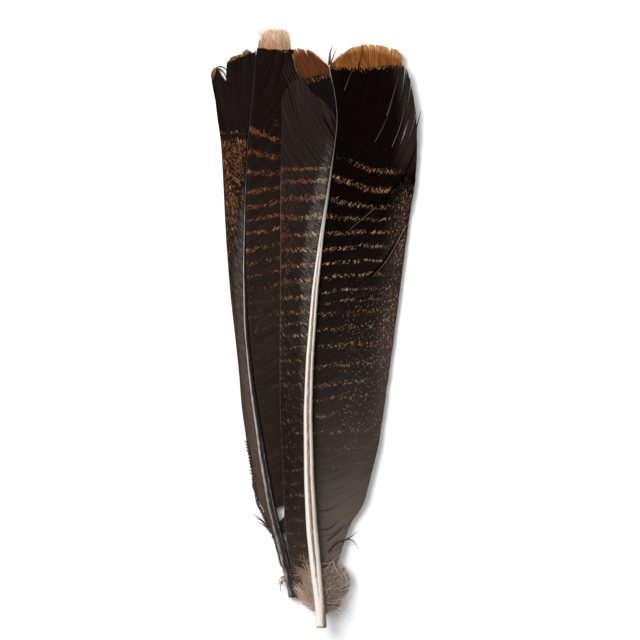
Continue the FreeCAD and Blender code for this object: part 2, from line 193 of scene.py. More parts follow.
class Camber:
    """Height of a vane's middle surface on one side of a shaft, measured on the CAD vanes."""

    STATION = 6.0              # between the places that are measured, along the shaft
    REACH_STEP = 3.0           # and away from it
    REACH = np.arange(1.0, 62.0, REACH_STEP)
    BEYOND = 14.0              # how far the vanes reach past the shaft's tip
    ABOVE = 60.0               # height from which they are measured
    WINDOW = 5

    def __init__(self, shaft, side, nodes):
        points, _, faces = gathered(nodes)
        tree = BVHTree.FromPolygons(points, faces)
        self.shaft = shaft
        self.side = side
        self.y = np.arange(shaft.low, shaft.high + self.BEYOND, self.STATION)
        table = np.full((len(self.y), len(self.REACH)), np.nan)
        for row, y in enumerate(self.y):
            for column, reach in enumerate(self.REACH):
                x = float(shaft.x(y)) + side * (float(shaft.half_width(y)) + reach)
                hit = tree.ray_cast(Vector((x, y, self.ABOVE)), Vector((0, 0, -1)))[0]
                if hit is not None:
                    table[row, column] = hit.z - CAD_VANE_HALF
        for row in table:
            known = ~np.isnan(row)
            row[:] = np.interp(self.REACH, self.REACH[known], row[known]) if known.any() else np.nan
        known = ~np.isnan(table[:, 0])
        for column in range(table.shape[1]):
            table[:, column] = np.interp(self.y, self.y[known], table[known, column])
        self.table = blurred(table, self.WINDOW)

    def height(self, x, y):
        reach = np.abs(x - self.shaft.x(y)) - self.shaft.half_width(y)
        u = np.clip((y - self.y[0]) / self.STATION, 0, len(self.y) - 1.001)
        v = np.clip((reach - self.REACH[0]) / self.REACH_STEP, 0, len(self.REACH) - 1.001)
        i, j = u.astype(int), v.astype(int)
        fu, fv = u - i, v - j
        t = self.table
        near = t[i, j] * (1 - fv) + t[i, j + 1] * fv
        far = t[i + 1, j] * (1 - fv) + t[i + 1, j + 1] * fv
        return near * (1 - fu) + far * fu


# ---------------------------------------------------------------- meshes

def placed(name, data):
    """New object in the scene."""
    thing = bpy.data.objects.new(name, data)
    bpy.context.scene.collection.objects.link(thing)
    return thing


class Piece:
    """Gathers closed shells and tubes with their marks, and makes one object of them."""

    def __init__(self):
        self.points = []
        self.faces = []
        self.marks = {name: [] for name in MARKS}
        self.count = 0

    def add(self, points, faces, marks):
        self.points.append(points.reshape(-1, 3))
        self.faces.append(faces + self.count)
        size = len(points.reshape(-1, 3))
        for name in MARKS:
            self.marks[name].append(np.broadcast_to(np.asarray(marks.get(name, 0.0), float), size))
        self.count += size

    def shell(self, middle, half, marks):
        """Thin closed plate about a grid of points: half is its half thickness at each point."""
        rows, columns = middle.shape[:2]
        lift = np.zeros_like(middle)
        lift[..., 2] = half
        points = np.concatenate([(middle + lift).reshape(-1, 3), (middle - lift).reshape(-1, 3)])
        index = np.arange(rows * columns).reshape(rows, columns)
        under = index + rows * columns
        faces = [quads(index), quads(under)[:, ::-1]]
        for edge in ((index[0], under[0]), (under[-1], index[-1]),
                     (under[:, 0], index[:, 0]), (index[:, -1], under[:, -1])):
            faces.append(np.stack([edge[0][:-1], edge[1][:-1], edge[1][1:], edge[0][1:]], 1))
        both = {name: np.tile(np.broadcast_to(value, (rows, columns)).ravel(), 2)
                for name, value in marks.items()}
        self.add(points, np.concatenate(faces), both)

    def tube(self, path, radii, marks, flat=1.0):
        """Closed four-sided tube along a path; flat presses it down to that share of its width."""
        path = np.asarray(path, float)
        run = np.gradient(path, axis=0)
        run /= np.linalg.norm(run, axis=1, keepdims=True) + 1e-12
        across = np.cross(run, (0.0, 0.0, 1.0))
        across /= np.linalg.norm(across, axis=1, keepdims=True) + 1e-12
        up = np.cross(across, run)
        turn = np.arange(4) * math.pi / 2
        ring = (across[:, None] * np.cos(turn)[None, :, None]
                + up[:, None] * np.sin(turn)[None, :, None] * flat)
        points = path[:, None] + ring * np.asarray(radii, float)[:, None, None]
        index = np.arange(len(path) * 4).reshape(len(path), 4)
        around = quads(np.concatenate([index, index[:, :1]], 1))
        spread = {name: np.repeat(np.broadcast_to(value, len(path)), 4)
                  for name, value in marks.items()}
        self.add(points, np.concatenate([around, index[:1, ::-1], index[-1:]]), spread)

    def build(self, name, material, place, *nodes):
        """Makes the object, which stands for the CAD nodes. place is its body."""
        points = np.concatenate(self.points) * MM
        mesh = bpy.data.meshes.new(name)
        mesh.from_pydata(points.tolist(), [], np.concatenate(self.faces).tolist())
        mesh.update()
        for mark in MARKS:
            layer = mesh.attributes.new(mark, "FLOAT", "POINT")
            layer.data.foreach_set("value", np.concatenate(self.marks[mark]).astype(np.float32))
        mesh.polygons.foreach_set("use_smooth", [True] * len(mesh.polygons))
        mesh.materials.append(material)
        piece = placed(name, mesh)
        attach(piece, place[0])
        if nodes:
            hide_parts(*nodes)
        return piece


def quads(index):
    """Faces between the neighbouring rows and columns of a grid of point numbers."""
    return np.stack([index[:-1, :-1], index[:-1, 1:], index[1:, 1:], index[1:, :-1]], -1).reshape(-1, 4)


def barb_rows(face, guides):
    """Root, control point and tip of every half barb of a clump, spaced evenly between its guides.
    A guide is (root y, or root x and y, tip x, tip y, bow): bow is the share of a barb's length by
    which it bends out towards the quill before it turns to the feather's tip."""
    guides = np.array(guides, float)
    if guides.shape[1] == 4:
        roots_y = guides[:, 0]
        roots_x = face.shaft.x(roots_y) + face.side * 0.6 * face.shaft.half_width(roots_y)
        roots = np.stack([roots_x, roots_y], 1)
    else:
        roots = guides[:, :2]
    tips = guides[:, -3:-1]
    steps = (np.linalg.norm(np.diff(roots, axis=0), axis=1)
             + np.linalg.norm(np.diff(tips, axis=0), axis=1)) / 2
    stops = np.concatenate([[0.0], np.cumsum(steps)])
    count = max(2, int(round(stops[-1] / BARB_PITCH)))
    at = np.linspace(0.0, stops[-1], 2 * count + 1)
    root = np.stack([smooth(stops, roots[:, 0], at), smooth(stops, roots[:, 1], at)], 1)
    tip = np.stack([smooth(stops, tips[:, 0], at), smooth(stops, tips[:, 1], at)], 1)
    bow = smooth(stops, guides[:, -1], at)
    chord = tip - root
    outward = np.stack([chord[:, 1], -chord[:, 0]], 1) * face.side
    control = (root + tip) / 2 + outward * 2 * bow[:, None]
    return at, root, control, tip


def vane(piece, face, guides, marks, seed, fray, slits, lift=0.0, splits=(), layer=0.25, wave=0.22):
    """Sheet of hooked barbs between guides. It parts at splits, each given as share of the clump,
    where along the barb it starts and stops, and gap, and at small random slits in its edge, given
    as their number, depth and gap. fray is how ragged the edge is and lift how far it rises; layer
    is how far the parts between two splits stand above or below each other, wave how high the
    sheet's slow waves are."""
    random = np.random.default_rng(seed)
    at, root, control, tip = barb_rows(face, guides)
    rows = len(at)
    crest = (np.arange(rows) % 2).astype(float)

    # Barb ends: crests stand out, valleys fall back, and whole locks of barbs are longer or shorter
    stops = np.arange(0, at[-1] + 5, LOCK)
    locks = np.interp(at, stops, random.normal(0, 0.5, int(at[-1] / LOCK) + 4)[:len(stops)])
    reach = fray * (crest * random.uniform(0.1, 1.1, rows) - (1 - crest) * VALLEY_FALL + locks)
    length = np.linalg.norm(tip - root, axis=1) + 1e-6
    t = np.linspace(0, 1, SEGMENTS + 1)[None, :] ** 0.9 * (1 + reach / np.maximum(length, 6))[:, None]
    weights = ((1 - t)**2, 2 * t * (1 - t), t**2)
    plan = sum(w[..., None] * p[:, None] for w, p in zip(weights, (root, control, tip)))

    # Open the splits: barbs on either side are pushed apart along the edge
    openings = list(splits)
    slit_count, slit_depth, slit_gap = slits
    for _ in range(slit_count):
        openings.append((random.uniform(0.03, 0.97), 1 - slit_depth * random.uniform(0.4, 1.6), 2.0,
                         slit_gap * random.uniform(0.3, 1.3)))
    edge = np.gradient(tip, axis=0)
    edge /= np.linalg.norm(edge, axis=1, keepdims=True) + 1e-9
    cuts = []
    shifts = np.zeros(t.shape)
    for share, start, stop, gap in openings:
        row = 2 * int(round(share * (rows - 1) / 2))
        row = min(max(row, 2), rows - 3)
        cuts.append(row)
        if stop > 1:
            opened = np.clip((t - start) / (1 - start), 0, 1.2) ** 1.5
        else:
            opened = np.sin(math.pi * np.clip((t - start) / (stop - start), 0, 1)) ** 2
        distance = np.arange(rows) - row
        push = np.where(distance > 0, 1.0, -1.0) * np.exp(-np.abs(distance) / SPLIT_REACH)
        shifts += gap / 2 * push[:, None] * opened
    cuts = sorted(set(cuts))
    bounds = [0] + cuts + [rows - 1]

    # Height: the CAD surface, the barbs' ridges, and slow waves that run along the barbs
    x, y = plan[..., 0], plan[..., 1]
    height = face.height(x, y)
    height += (crest[:, None] - 0.5) * RIDGE * (1 - 0.4 * np.minimum(t, 1))
    for _ in range(WAVES):
        spacing = random.uniform(7, 26)
        phase = random.uniform(0, 2 * math.pi)
        bend = random.uniform(-2.0, 2.0)
        wave_part = np.sin(at[:, None] * 2 * math.pi / spacing + phase + bend * t)
        height += wave / 2.2 * wave_part * np.minimum(t, 1) ** 0.8
    height += lift * np.minimum(t, 1) ** 2

    across = np.repeat(at[:, None], SEGMENTS + 1, 1)
    along = t * length[:, None]
    for first, last in zip(bounds, bounds[1:]):
        if last - first < 2:
            continue
        part = slice(first, last + 1)
        raised = random.uniform(-layer, layer) * np.minimum(t[part], 1) ** 1.5
        own = shifts[part].copy()
        if first in cuts:
            own[0] = own[1]
        if last in cuts:
            own[-1] = own[-2]
        px = x[part] + own * edge[part, None, 0]
        py = y[part] + own * edge[part, None, 1]
        middle = np.stack([px, py, np.maximum(height[part] + raised, FLOOR_CLEARANCE)], -1)
        half = SHEET_HALF * (1 - 0.45 * np.minimum(t[part], 1))
        values = marks(px, py, t[part])
        values["across"] = across[part] + seed * STREAK_SHIFT
        values["along"] = along[part]
        piece.shell(middle, half, values)


def loose_barb(piece, face, points, width, marks, lift, tip_lift):
    """One barb that stands clear of its vane, along a smooth path in plan."""
    points = np.array(points, float)
    steps = np.concatenate([[0.0], np.cumsum(np.linalg.norm(np.diff(points, axis=0), axis=1))])
    at = np.linspace(0, steps[-1], STRAND_POINTS)
    x = smooth(steps, points[:, 0], at)
    y = smooth(steps, points[:, 1], at)
    share = at / at[-1]
    z = np.maximum(face.height(x, y) + lift + tip_lift * share**2, FLOOR_CLEARANCE)
    radii = width / 2 * (1 - 0.85 * share**1.5)
    values = marks(x, y, share)
    values["across"] = 3.1 * points[0, 0] + points[0, 1]
    values["along"] = at
    piece.tube(np.stack([x, y, z], 1), radii, values, flat=0.45)


def strands(piece, face, rows, marks, lift, tip_lift):
    """Loose barbs, each given as its path and width, and lift where they differ in it."""
    for points, width, *own_lift in rows:
        loose_barb(piece, face, points, width, marks, own_lift[0] if own_lift else lift, tip_lift)


def clump(name, material, place, node, *args, **look):
    """Piece made of one vane."""
    piece = Piece()
    vane(piece, *args, **look)
    piece.build(name, material, place, node)


# ---------------------------------------------------------------- what the two feathers are like

lower = Shaft("lower")
upper = Shaft("upper")
lower_outer = Camber(lower, -1, ["lower_outer_vane", "lower_outer_tip", "lower_tip_curl"])
lower_inner = Camber(lower, 1, ["lower_inner_vane", "lower_inner_tip", "lower_buff_tip"])
upper_narrow = Camber(upper, -1, ["upper_narrow_vane", "upper_narrow_tip"])
upper_wide = Camber(upper, 1, ["upper_wide_base_clump", "upper_wide_middle_clump",
                               "upper_wide_outer_clump", "upper_wide_slit_clump",
                               "upper_wide_inner_clump"])


def bar_turns(root_y, centres):
    """Turns of the bar pattern: whole numbers at the bars' centres, evenly spaced beyond them."""
    first = (np.minimum(root_y, centres[0]) - centres[0]) / (centres[1] - centres[0])
    last = (np.maximum(root_y, centres[-1]) - centres[-1]) / (centres[-1] - centres[-2])
    return first + np.interp(root_y, centres, np.arange(len(centres))) + last


def lower_outer_marks(x, y, t):
    """Dense rusty speckle above mid length, fading to the outer edge, and a grey strip inside, partly real
    grey barbs and partly painted sheen.
    """
    reach = lower.x(y) - x
    width = np.interp(y, (-140, -60, 50, 110, 150), (5, 7, 11, 16, 22))
    outer = np.clip(reach / width, 0, 1.2)
    row = np.exp(-((y - 110.4) / 0.8) ** 2)
    band = ramp(y, -40, 45) * np.maximum(1 - ramp(y, 105.5, 108.5), row)
    start = np.interp(y, (20, 50, 70, 100), (0.75, 0.42, 0.1, -0.2))
    return {
        "specks": band * ramp(outer, start, start + 0.4) * np.interp(y, (0, 40, 70), (0.5, 0.8, 0.97)),
        "phase": y / 4,
        "rust": np.interp(y, (-60, 30, 80, 106, 109), (0.3, 0.64, 0.78, 0.84, 0.3)),
        # grey strip beside the shaft, partly real grey barbs and partly painted sheen
        "grey_and_sheen": (0.55 * (1 - ramp(outer, 0.35, 0.95)) * ramp(y, -110, -40)
                  * (1 - ramp(y, 40, 90)) + 0.4 * (1 - ramp(reach, 1, 3.4)) * ramp(y, 20, 60)
                  * (1 - ramp(y, 80, 118))),
        "tip": y - np.interp(x, (-60, -58, -56, -50, -44, -34), (139.6, 142.2, 148.4, 150.6, 153.4, 157.4)),
        "fade": np.interp(y, (-90, -30, 20, 50), (0.95, 0.66, 0.24, 0)),
        "rim": ramp(t, 0.86, 0.97) * (1 - ramp(y, 30, 60)) * ramp(y, -100, -20) * 0.9,
    }


def lower_inner_marks(x, y, t):
    """Rusty bars that slant down to the right at the top, level out and then rise."""
    reach = x - lower.x(y)
    slope = np.clip((86 - y) * 0.019, -0.46, 0.2)
    root_y = y - slope * np.minimum(reach, 24)
    return {
        "phase": bar_turns(root_y, LOWER_BARS),
        "bars": np.interp(y, (-10, 20, 52, 70), (0.12, 0.3, 0.7, 1.04)) * (1 - ramp(root_y, 117, 120)),
        "specks": 0.2 * ramp(y, -60, 0) * (1 - ramp(y, 40, 70))
        + 0.85 * np.exp(-((root_y - 123) / 1.6) ** 2) * ramp(reach, 12, 14),
        "rust": np.interp(y, (28, 70), (0.4, 1)),
        "tip": y - np.interp(x, (-34, -14, -8), (159.6, 160.2, 160.5)),
        "fade": np.interp(y, (-100, 0, 60, 110), (0.27, 0.2, 0.12, 0)),
    }


def upper_narrow_marks(x, y, t):
    """Grey patch beside the shaft, partly real grey barbs and partly painted sheen, and bars that are cream
    at the shaft and rusty at the edge.
    """
    reach = upper.x(y) - x
    zone = np.interp(y, (-60, -10, 20, 60, 84, 100), (5, 7, 9.5, 10.5, 9, 6))
    edge = ramp(t, 0.955, 0.985) * np.interp(y, (-140, -60, 30, 50), (0.25, 0.5, 0.9, 0.6))
    return {
        "phase": bar_turns(y + 0.05 * reach, NARROW_BARS),
        "bars": np.interp(y, (-40, 20, 50, 90, 92), (0.3, 0.85, 1.1, 1, 0)),
        "specks": 0.46 * ramp(reach, 10, 18) * ramp(y, -60, 30) * (1 - ramp(y, 84, 90))
        + 0.3 * ramp(-y, -40, 40) * ramp(y, -120, -60) * ramp(reach, 3, 9),
        "rust": ramp(reach, 4, 15) * np.interp(y, (-60, 0, 60), (0.5, 0.7, 0.95)),
        # grey beside the shaft, partly real grey barbs and partly painted sheen
        "grey_and_sheen": (1 - ramp(reach, 0.55 * zone, 1.15 * zone)) * np.interp(
            y, (-90, -30, 30, 84, 92, 104, 112), (0.15, 0.5, 0.95, 1, 0.75, 0.34, 0))
        + 0.06 * ramp(y, 88, 100) * ramp(t, 0, 0.3),
        "tip": NO_TIP,
        "fade": np.interp(y, (-142, -122, -100, -79, 0), (0.6, 0.32, 0.14, 0.06, 0.06)),
        "rim": edge * (1 - ramp(y, 88, 94)) * 0.9,
    }


def upper_tip_marks(x, y, t):
    """Chestnut patch beyond a dotted line, black below it."""
    tip = y - np.interp(x, (-6, 8.5), (140.4, 144.8))
    return {"tip": tip, "specks": 0.95 * np.exp(-((tip + 1.7) / 1.5) ** 2), "phase": BETWEEN_BARS,
            "rust": 0.4, "rim": ramp(t, 0.92, 0.99)}


def upper_wide_marks(x, y, t):
    """Narrow pale bars, slanting down to the right at the top and rising lower down."""
    reach = x - upper.x(y)
    slope = np.interp(y, (20, 45, 55, 61, 67, 76, 87), (0.12, 0.1, 0.06, -0.05, -0.2, -0.34, -0.4))
    bend = np.interp(reach, (0, 16, 22, 28, 34, 44), (0, 16, 21, 24, 24.5, 22))
    root_y = y - slope * bend - 0.35 * np.sin(reach / 2.9 + y / 9)
    outer = ramp(reach, 32, 46)
    below = ramp(-y, -60, 10)
    tip = y - np.interp(x, (8, 14, 30, 45, 52), (148.6, 147.2, 147.2, 148.8, 147.2))
    return {
        "phase": bar_turns(root_y, WIDE_BARS),
        "bars": np.interp(y, (-100, -40, 0, 25, 48, 70), (0.1, 0.45, 0.55, 0.65, 0.8, 0.85))
        * (1 - ramp(root_y, 100, 102)) * (1 - 0.8 * ramp(reach, 34, 42))
        * (1 - 0.75 * (1 - ramp(reach, 5, 13)) * ramp(y, 88, 92)),
        "specks": (0.25 + 0.45 * ramp(y, 26, 44)) * outer * ramp(y, -60, 10) * (1 - ramp(y, 72, 92))
        + 0.34 * ramp(y, -110, -50) * (1 - ramp(y, 15, 40)) * ramp(reach, 3, 24)
        + 0.9 * np.exp(-((tip + 1.1) / 0.9) ** 2),
        "rust": 0.2 + 0.25 * ramp(y, 20, 50) + 0.3 * ramp(y, 60, 95) * (1 - ramp(reach, 18, 30)),
        "tip": tip,
        "fade": np.interp(y, (-135, -110, -76, -42, -13, 30, 70), (1, 0.8, 0.38, 0.19, 0.1, 0.04, 0))
        + 0.25 * outer * below * ramp(y, -90, -20) + 0.12 * outer * ramp(y, 26, 40) * (1 - ramp(y, 60, 84))
        + 0.14 * ramp(reach, 33, 42) * ramp(y, 84, 100),
        "rim": 0.8 * ramp(t, 0.93, 0.99) * ramp(y, 150, 156),
    }


def strand_marks(x, y, t):
    """Plain dark barb, brown past the tip band and near the down."""
    return {"fade": 0.5 * ramp(-y, 60, 110), "phase": BETWEEN_BARS, "tip": y - 150}


def plain_marks(fade):
    """Marks of a plain barb, the same all over it."""
    return lambda x, y, t: {"fade": fade, "phase": BETWEEN_BARS, "tip": NO_TIP}


def buff_marks(x, y, t):
    """Soft buff barb ends, paler towards their tips."""
    return {"tip": NO_TIP, "fade": np.clip((y - 157) / 12, 0, 1)}


def down_marks(x, y, t):
    """Downy barbs, paler towards their tips."""
    return {"fade": np.clip(t, 0, 1)}


# ---------------------------------------------------------------- materials

class Nodes:
    """Builds a node tree in few words."""

    def __init__(self, name):
        self.material = bpy.data.materials.new(name)
        self.material.use_nodes = True
        self.tree = self.material.node_tree
        self.shader = self.tree.nodes["Principled BSDF"]

    def put(self, socket, value):
        """A link, a number, or a colour into a socket. A colour is three display values of 0 to
        255, or four linear ones."""
        if isinstance(value, tuple):
            socket.default_value = srgb(*value) if len(value) == 3 else value
        elif isinstance(value, (int, float)):
            socket.default_value = value
        else:
            self.tree.links.new(value, socket)

    def node(self, kind, inputs=(), **settings):
        """New node with its settings, then its inputs, given as pairs of socket and value."""
        node = self.tree.nodes.new("ShaderNode" + kind)
        for name, value in settings.items():
            setattr(node, name, value)
        for socket, value in inputs:
            self.put(node.inputs[socket], value)
        return node

    def mark(self, name):
        return self.node("Attribute", attribute_name=name).outputs["Fac"]

    def math(self, operation, *values):
        return self.node("Math", enumerate(values), operation=operation).outputs[0]

    def plus(self, first, second):
        return self.math("ADD", first, second)

    def times(self, first, second):
        return self.math("MULTIPLY", first, second)

    def scaled(self, value, gain, offset):
        return self.math("MULTIPLY_ADD", value, gain, offset)

    def step(self, value, low, high):
        return self.node("MapRange", (("Value", value), ("From Min", low), ("From Max", high)),
                         interpolation_type="SMOOTHSTEP").outputs["Result"]

    def above(self, height, level):
        """1 where a dot's height is above the level, with a soft rim."""
        return self.step(self.math("SUBTRACT", height, level), -0.08, 0.12)

    def mix(self, share, first, second):
        return self.node("Mix", ((0, share), (6, first), (7, second)), data_type="RGBA").outputs[2]

    def grid(self, across, along):
        """Position on a vane, in barb widths across and lengths along."""
        parts = (self.math("DIVIDE", self.mark("across"), across),
                 self.math("DIVIDE", self.mark("along"), along))
        return self.node("CombineXYZ", enumerate(parts)).outputs[0]

    def place(self, scale):
        """Position on the object, in steps of scale millimetres."""
        position = self.node("TexCoord").outputs["Object"]
        return self.node("VectorMath", ((0, position), ("Scale", 1.0 / (scale * MM))),
                         operation="SCALE").outputs[0]

    def noise(self, vector, detail=2.0):
        inputs = (("Scale", 1.0), ("Detail", detail), ("Vector", vector))
        return self.node("TexNoise", inputs).outputs["Fac"]

    def flecks(self, vector):
        """Scattered dots: a height that peaks in the middle of each dot, and two values that
        differ from dot to dot."""
        cell = self.node("TexVoronoi", (("Scale", 1.0), ("Vector", vector)),
                         voronoi_dimensions="2D").outputs
        random = self.node("SeparateColor", ((0, cell["Color"]),)).outputs
        return self.scaled(cell["Distance"], -0.9, random[0]), random[1], random[2]

    def bump(self, height, strength, distance):
        node = self.node("Bump", (("Strength", strength), ("Distance", distance * MM),
                                  ("Height", height)))
        self.put(self.shader.inputs["Normal"], node.outputs["Normal"])

    def finish(self, colour, roughness, specular):
        for socket, value in (("Base Color", colour), ("Roughness", roughness),
                              ("Specular IOR Level", specular)):
            self.put(self.shader.inputs[socket], value)
        return self.material


def vane_material(name, dark, brown, faded, pale, rust, grey, tip_dark, tip_light, rim, specular,
                  dots=7.0, grain=(1.0, 2.0), bar_edge=(0.5, 0.95)):
    """Feather vane: streaked ground, fading to the quill, with a grey patch that is partly painted sheen,
    speckled bars and a tip band.
    dots is how far the tip band breaks up into dots where it starts, grain a dot's width and
    length, bar_edge the steps of the wave between which a bar begins."""
    n = Nodes(name)
    streak = n.noise(n.grid(1.2, 26.0), 3.0)
    hatch = n.noise(n.grid(0.7, 5.0))
    fine = n.noise(n.grid(0.45, 2.2), 1.0)
    rough = n.noise(n.grid(*grain), 1.0)
    dot, tone, hue = n.flecks(n.grid(*grain))
    dot = n.plus(dot, n.scaled(fine, 0.7, -0.35))
    patch = n.noise(n.grid(5.0, 8.0))

    ground = n.mix(n.step(streak, 0.35, 0.7), dark, brown)
    ground = n.mix(n.times(n.mark("fade"), n.step(streak, -0.2, 0.6)), ground, faded)
    # grey patch: partly real grey barbs, partly painted sheen
    ragged_grey_sheen = n.plus(n.mark("grey_and_sheen"), n.scaled(hatch, 1.9, -1.05))
    grey_sheen_share = n.times(n.step(ragged_grey_sheen, 0.0, 1.0), n.step(n.mark("grey_and_sheen"), 0.02, 0.25))
    grey_sheen_share = n.times(grey_sheen_share, n.step(n.plus(fine, hatch), 0.75, 1.25))
    ground = n.mix(grey_sheen_share, ground, grey)

    # Bars: a wave along the feather with ragged edges, broken into dots; loose dots between them
    wander = n.scaled(hatch, 0.5, n.scaled(patch, 0.35, -0.425))
    wave = n.math("COSINE", n.times(n.plus(n.mark("phase"), wander), 2 * math.pi))
    chance = n.scaled(n.mark("bars"), -0.46, 0.6)
    bar = n.times(n.step(wave, *bar_edge), n.above(dot, chance))
    bar = n.times(bar, n.step(n.mark("bars"), -0.1, 0.9))
    rarity = n.scaled(n.mark("specks"), -0.75, 0.95)
    loose = n.times(n.above(dot, rarity), n.step(n.mark("specks"), -0.1, 0.6))
    pattern = n.math("MAXIMUM", bar, loose)
    shade = n.mix(n.step(n.math("SUBTRACT", n.mark("rust"), hue), -0.3, 0.2), pale, rust)
    strength = n.scaled(tone, 0.8, 0.25)
    colour = n.mix(n.times(pattern, strength), ground, shade)

    # Tip band, broken into dots where it starts and lighter at the very edge
    ragged = n.scaled(rough, dots, -dots / 2)
    band = n.step(n.plus(n.mark("tip"), ragged), -0.3, 0.3)
    tip = n.mix(n.step(n.plus(streak, patch), 0.75, 1.45), tip_dark, tip_light)
    colour = n.mix(band, colour, tip)
    colour = n.mix(n.times(n.mark("rim"), n.step(hatch, 0.3, 0.6)), colour, rim)

    n.bump(n.noise(n.grid(0.32, 7.0)), 0.3, 0.1)
    return n.finish(colour, n.scaled(streak, 0.25, 0.45), specular)


def quill_material(name, base, shade, groove, dull, centre, specular, roughness):
    """Horn of a barrel or shaft: streaked along its length, duller towards the tip (rust), with
    another colour in the groove of the cream quill and as a painted highlight along the lit edge of the
    dark one (fade), darker in the middle and as painted shade inside the hollow (rim)."""
    n = Nodes(name)
    lines = n.noise(n.grid(0.5, 30.0), 3.0)
    cloud = n.noise(n.grid(1.6, 5.0), 4.0)
    colour = n.mix(n.step(lines, 0.3, 0.75), base, shade)
    colour = n.mix(n.mark("rust"), colour, dull)
    edge = n.scaled(cloud, 1.1, n.scaled(lines, 0.5, -0.8))
    # share of the other colour: brown groove lining on the cream quill, painted highlight on the dark quill
    inside = n.times(n.step(n.plus(n.mark("fade"), edge), 0.05, 0.95), n.step(n.mark("fade"), 0, 0.2))
    colour = n.mix(inside, colour, groove)
    colour = n.mix(n.times(n.mark("rim"), n.step(cloud, 0.2, 0.6)), colour, centre)
    n.bump(n.noise(n.grid(0.4, 9.0), 3.0), 0.2, 0.06)
    return n.finish(colour, n.scaled(cloud, 0.2, roughness), specular)


def soft_material(name, first, second, tips, roughness=0.75, scale=2.0):
    """Down, pith and pulp: matt, mottled, with a fine tooth, and another colour at the tips."""
    n = Nodes(name)
    cloud = n.noise(n.place(scale), 4.0)
    colour = n.mix(n.step(cloud, 0.3, 0.7), first, second)
    colour = n.mix(n.mark("fade"), colour, tips)
    n.bump(n.noise(n.place(scale / 5)), 0.3, 0.1)
    return n.finish(colour, n.scaled(cloud, 0.15, roughness), 0.1)


# grey is the colour of the patch that is partly painted sheen
lower_vane_paint = vane_material("lower_vane_paint", dark=(11, 6, 3), brown=(22, 14, 10),
    faded=(78, 63, 54), pale=(164, 124, 90), rust=(116, 66, 35), grey=(92, 84, 78), tip_dark=(84, 52, 22),
    tip_light=(136, 94, 50), rim=(128, 76, 44), specular=0.03, dots=4, grain=(0.82, 1.4))
upper_narrow_paint = vane_material("upper_narrow_paint", dark=(15, 9, 5), brown=(30, 22, 17),
    faded=(76, 60, 48), pale=(158, 136, 113), rust=(112, 64, 40), grey=(84, 75, 69),
    tip_dark=(74, 38, 22), tip_light=(152, 98, 56), rim=(126, 94, 74), specular=0.06, dots=16,
    grain=(0.8, 1.7), bar_edge=(0.45, 0.95))
upper_tip_paint = vane_material("upper_tip_paint", dark=(4, 2, 1), brown=(11, 7, 5), faded=(46, 30, 22),
    pale=(150, 112, 84), rust=(124, 62, 38), grey=(88, 82, 79), tip_dark=(70, 34, 12),
    tip_light=(84, 44, 20), rim=(146, 94, 50), specular=0.04, dots=12)
upper_wide_paint = vane_material("upper_wide_paint", dark=(4, 1, 0), brown=(9, 4, 1), faded=(92, 81, 73),
    pale=(164, 134, 108), rust=(114, 70, 46), grey=(70, 62, 55), tip_dark=(94, 52, 20),
    tip_light=(140, 90, 46), rim=(186, 138, 88), specular=0.015, dots=7, grain=(0.88, 1.25),
    bar_edge=(0.62, 0.97))
# painted highlight: pale strands that stand in for the lit edges of raised clumps
lit_edge_highlight_paint = vane_material("lit_edge_highlight_paint", dark=(62, 56, 50), brown=(92, 84, 76),
    faded=(150, 138, 124), pale=(150, 138, 124), rust=(120, 90, 60), grey=(130, 124, 118),
    tip_dark=(120, 90, 60), tip_light=(150, 130, 110), rim=(150, 138, 124), specular=0.15)
buff_paint = vane_material("buff_paint", dark=(146, 100, 58), brown=(170, 124, 82), faded=(218, 190, 162),
    pale=(226, 200, 170), rust=(190, 140, 94), grey=(226, 206, 184), tip_dark=(190, 140, 94),
    tip_light=(226, 200, 170), rim=(226, 206, 184), specular=0.08)
cream_quill_paint = quill_material("cream_quill_paint", base=(226, 220, 213), shade=(198, 185, 172),
    groove=(122, 98, 84), dull=(34, 28, 24), centre=(72, 52, 42), specular=0.24, roughness=0.28)
# groove is here the colour of the painted highlight along the dark quill's left edge
dark_quill_paint = quill_material("dark_quill_paint", base=(26, 23, 22), shade=(10, 8, 8),
    groove=(160, 153, 147), dull=(24, 18, 14), centre=(58, 48, 43), specular=0.2, roughness=0.32)
left_down_paint = soft_material("left_down_paint", (172, 148, 130), (196, 172, 154), (166, 142, 124),
    0.85, 3)
right_down_paint = soft_material("right_down_paint", (110, 97, 86), (144, 126, 112), (138, 122, 110),
    0.85, 3)
filament_paint = soft_material("filament_paint", (178, 158, 140), (146, 128, 110), (196, 180, 162), 0.8,
    3)
tuft_paint = soft_material("tuft_paint", (150, 110, 80), (96, 66, 44), (120, 90, 66), 0.7, 2)
pith_paint = soft_material("pith_paint", (226, 214, 192), (240, 232, 216), (240, 232, 216), 0.85, 1.5)
pulp_paint = soft_material("pulp_paint", (150, 122, 88), (184, 158, 122), (184, 158, 122), 0.7, 1)


# ---------------------------------------------------------------- lower feather

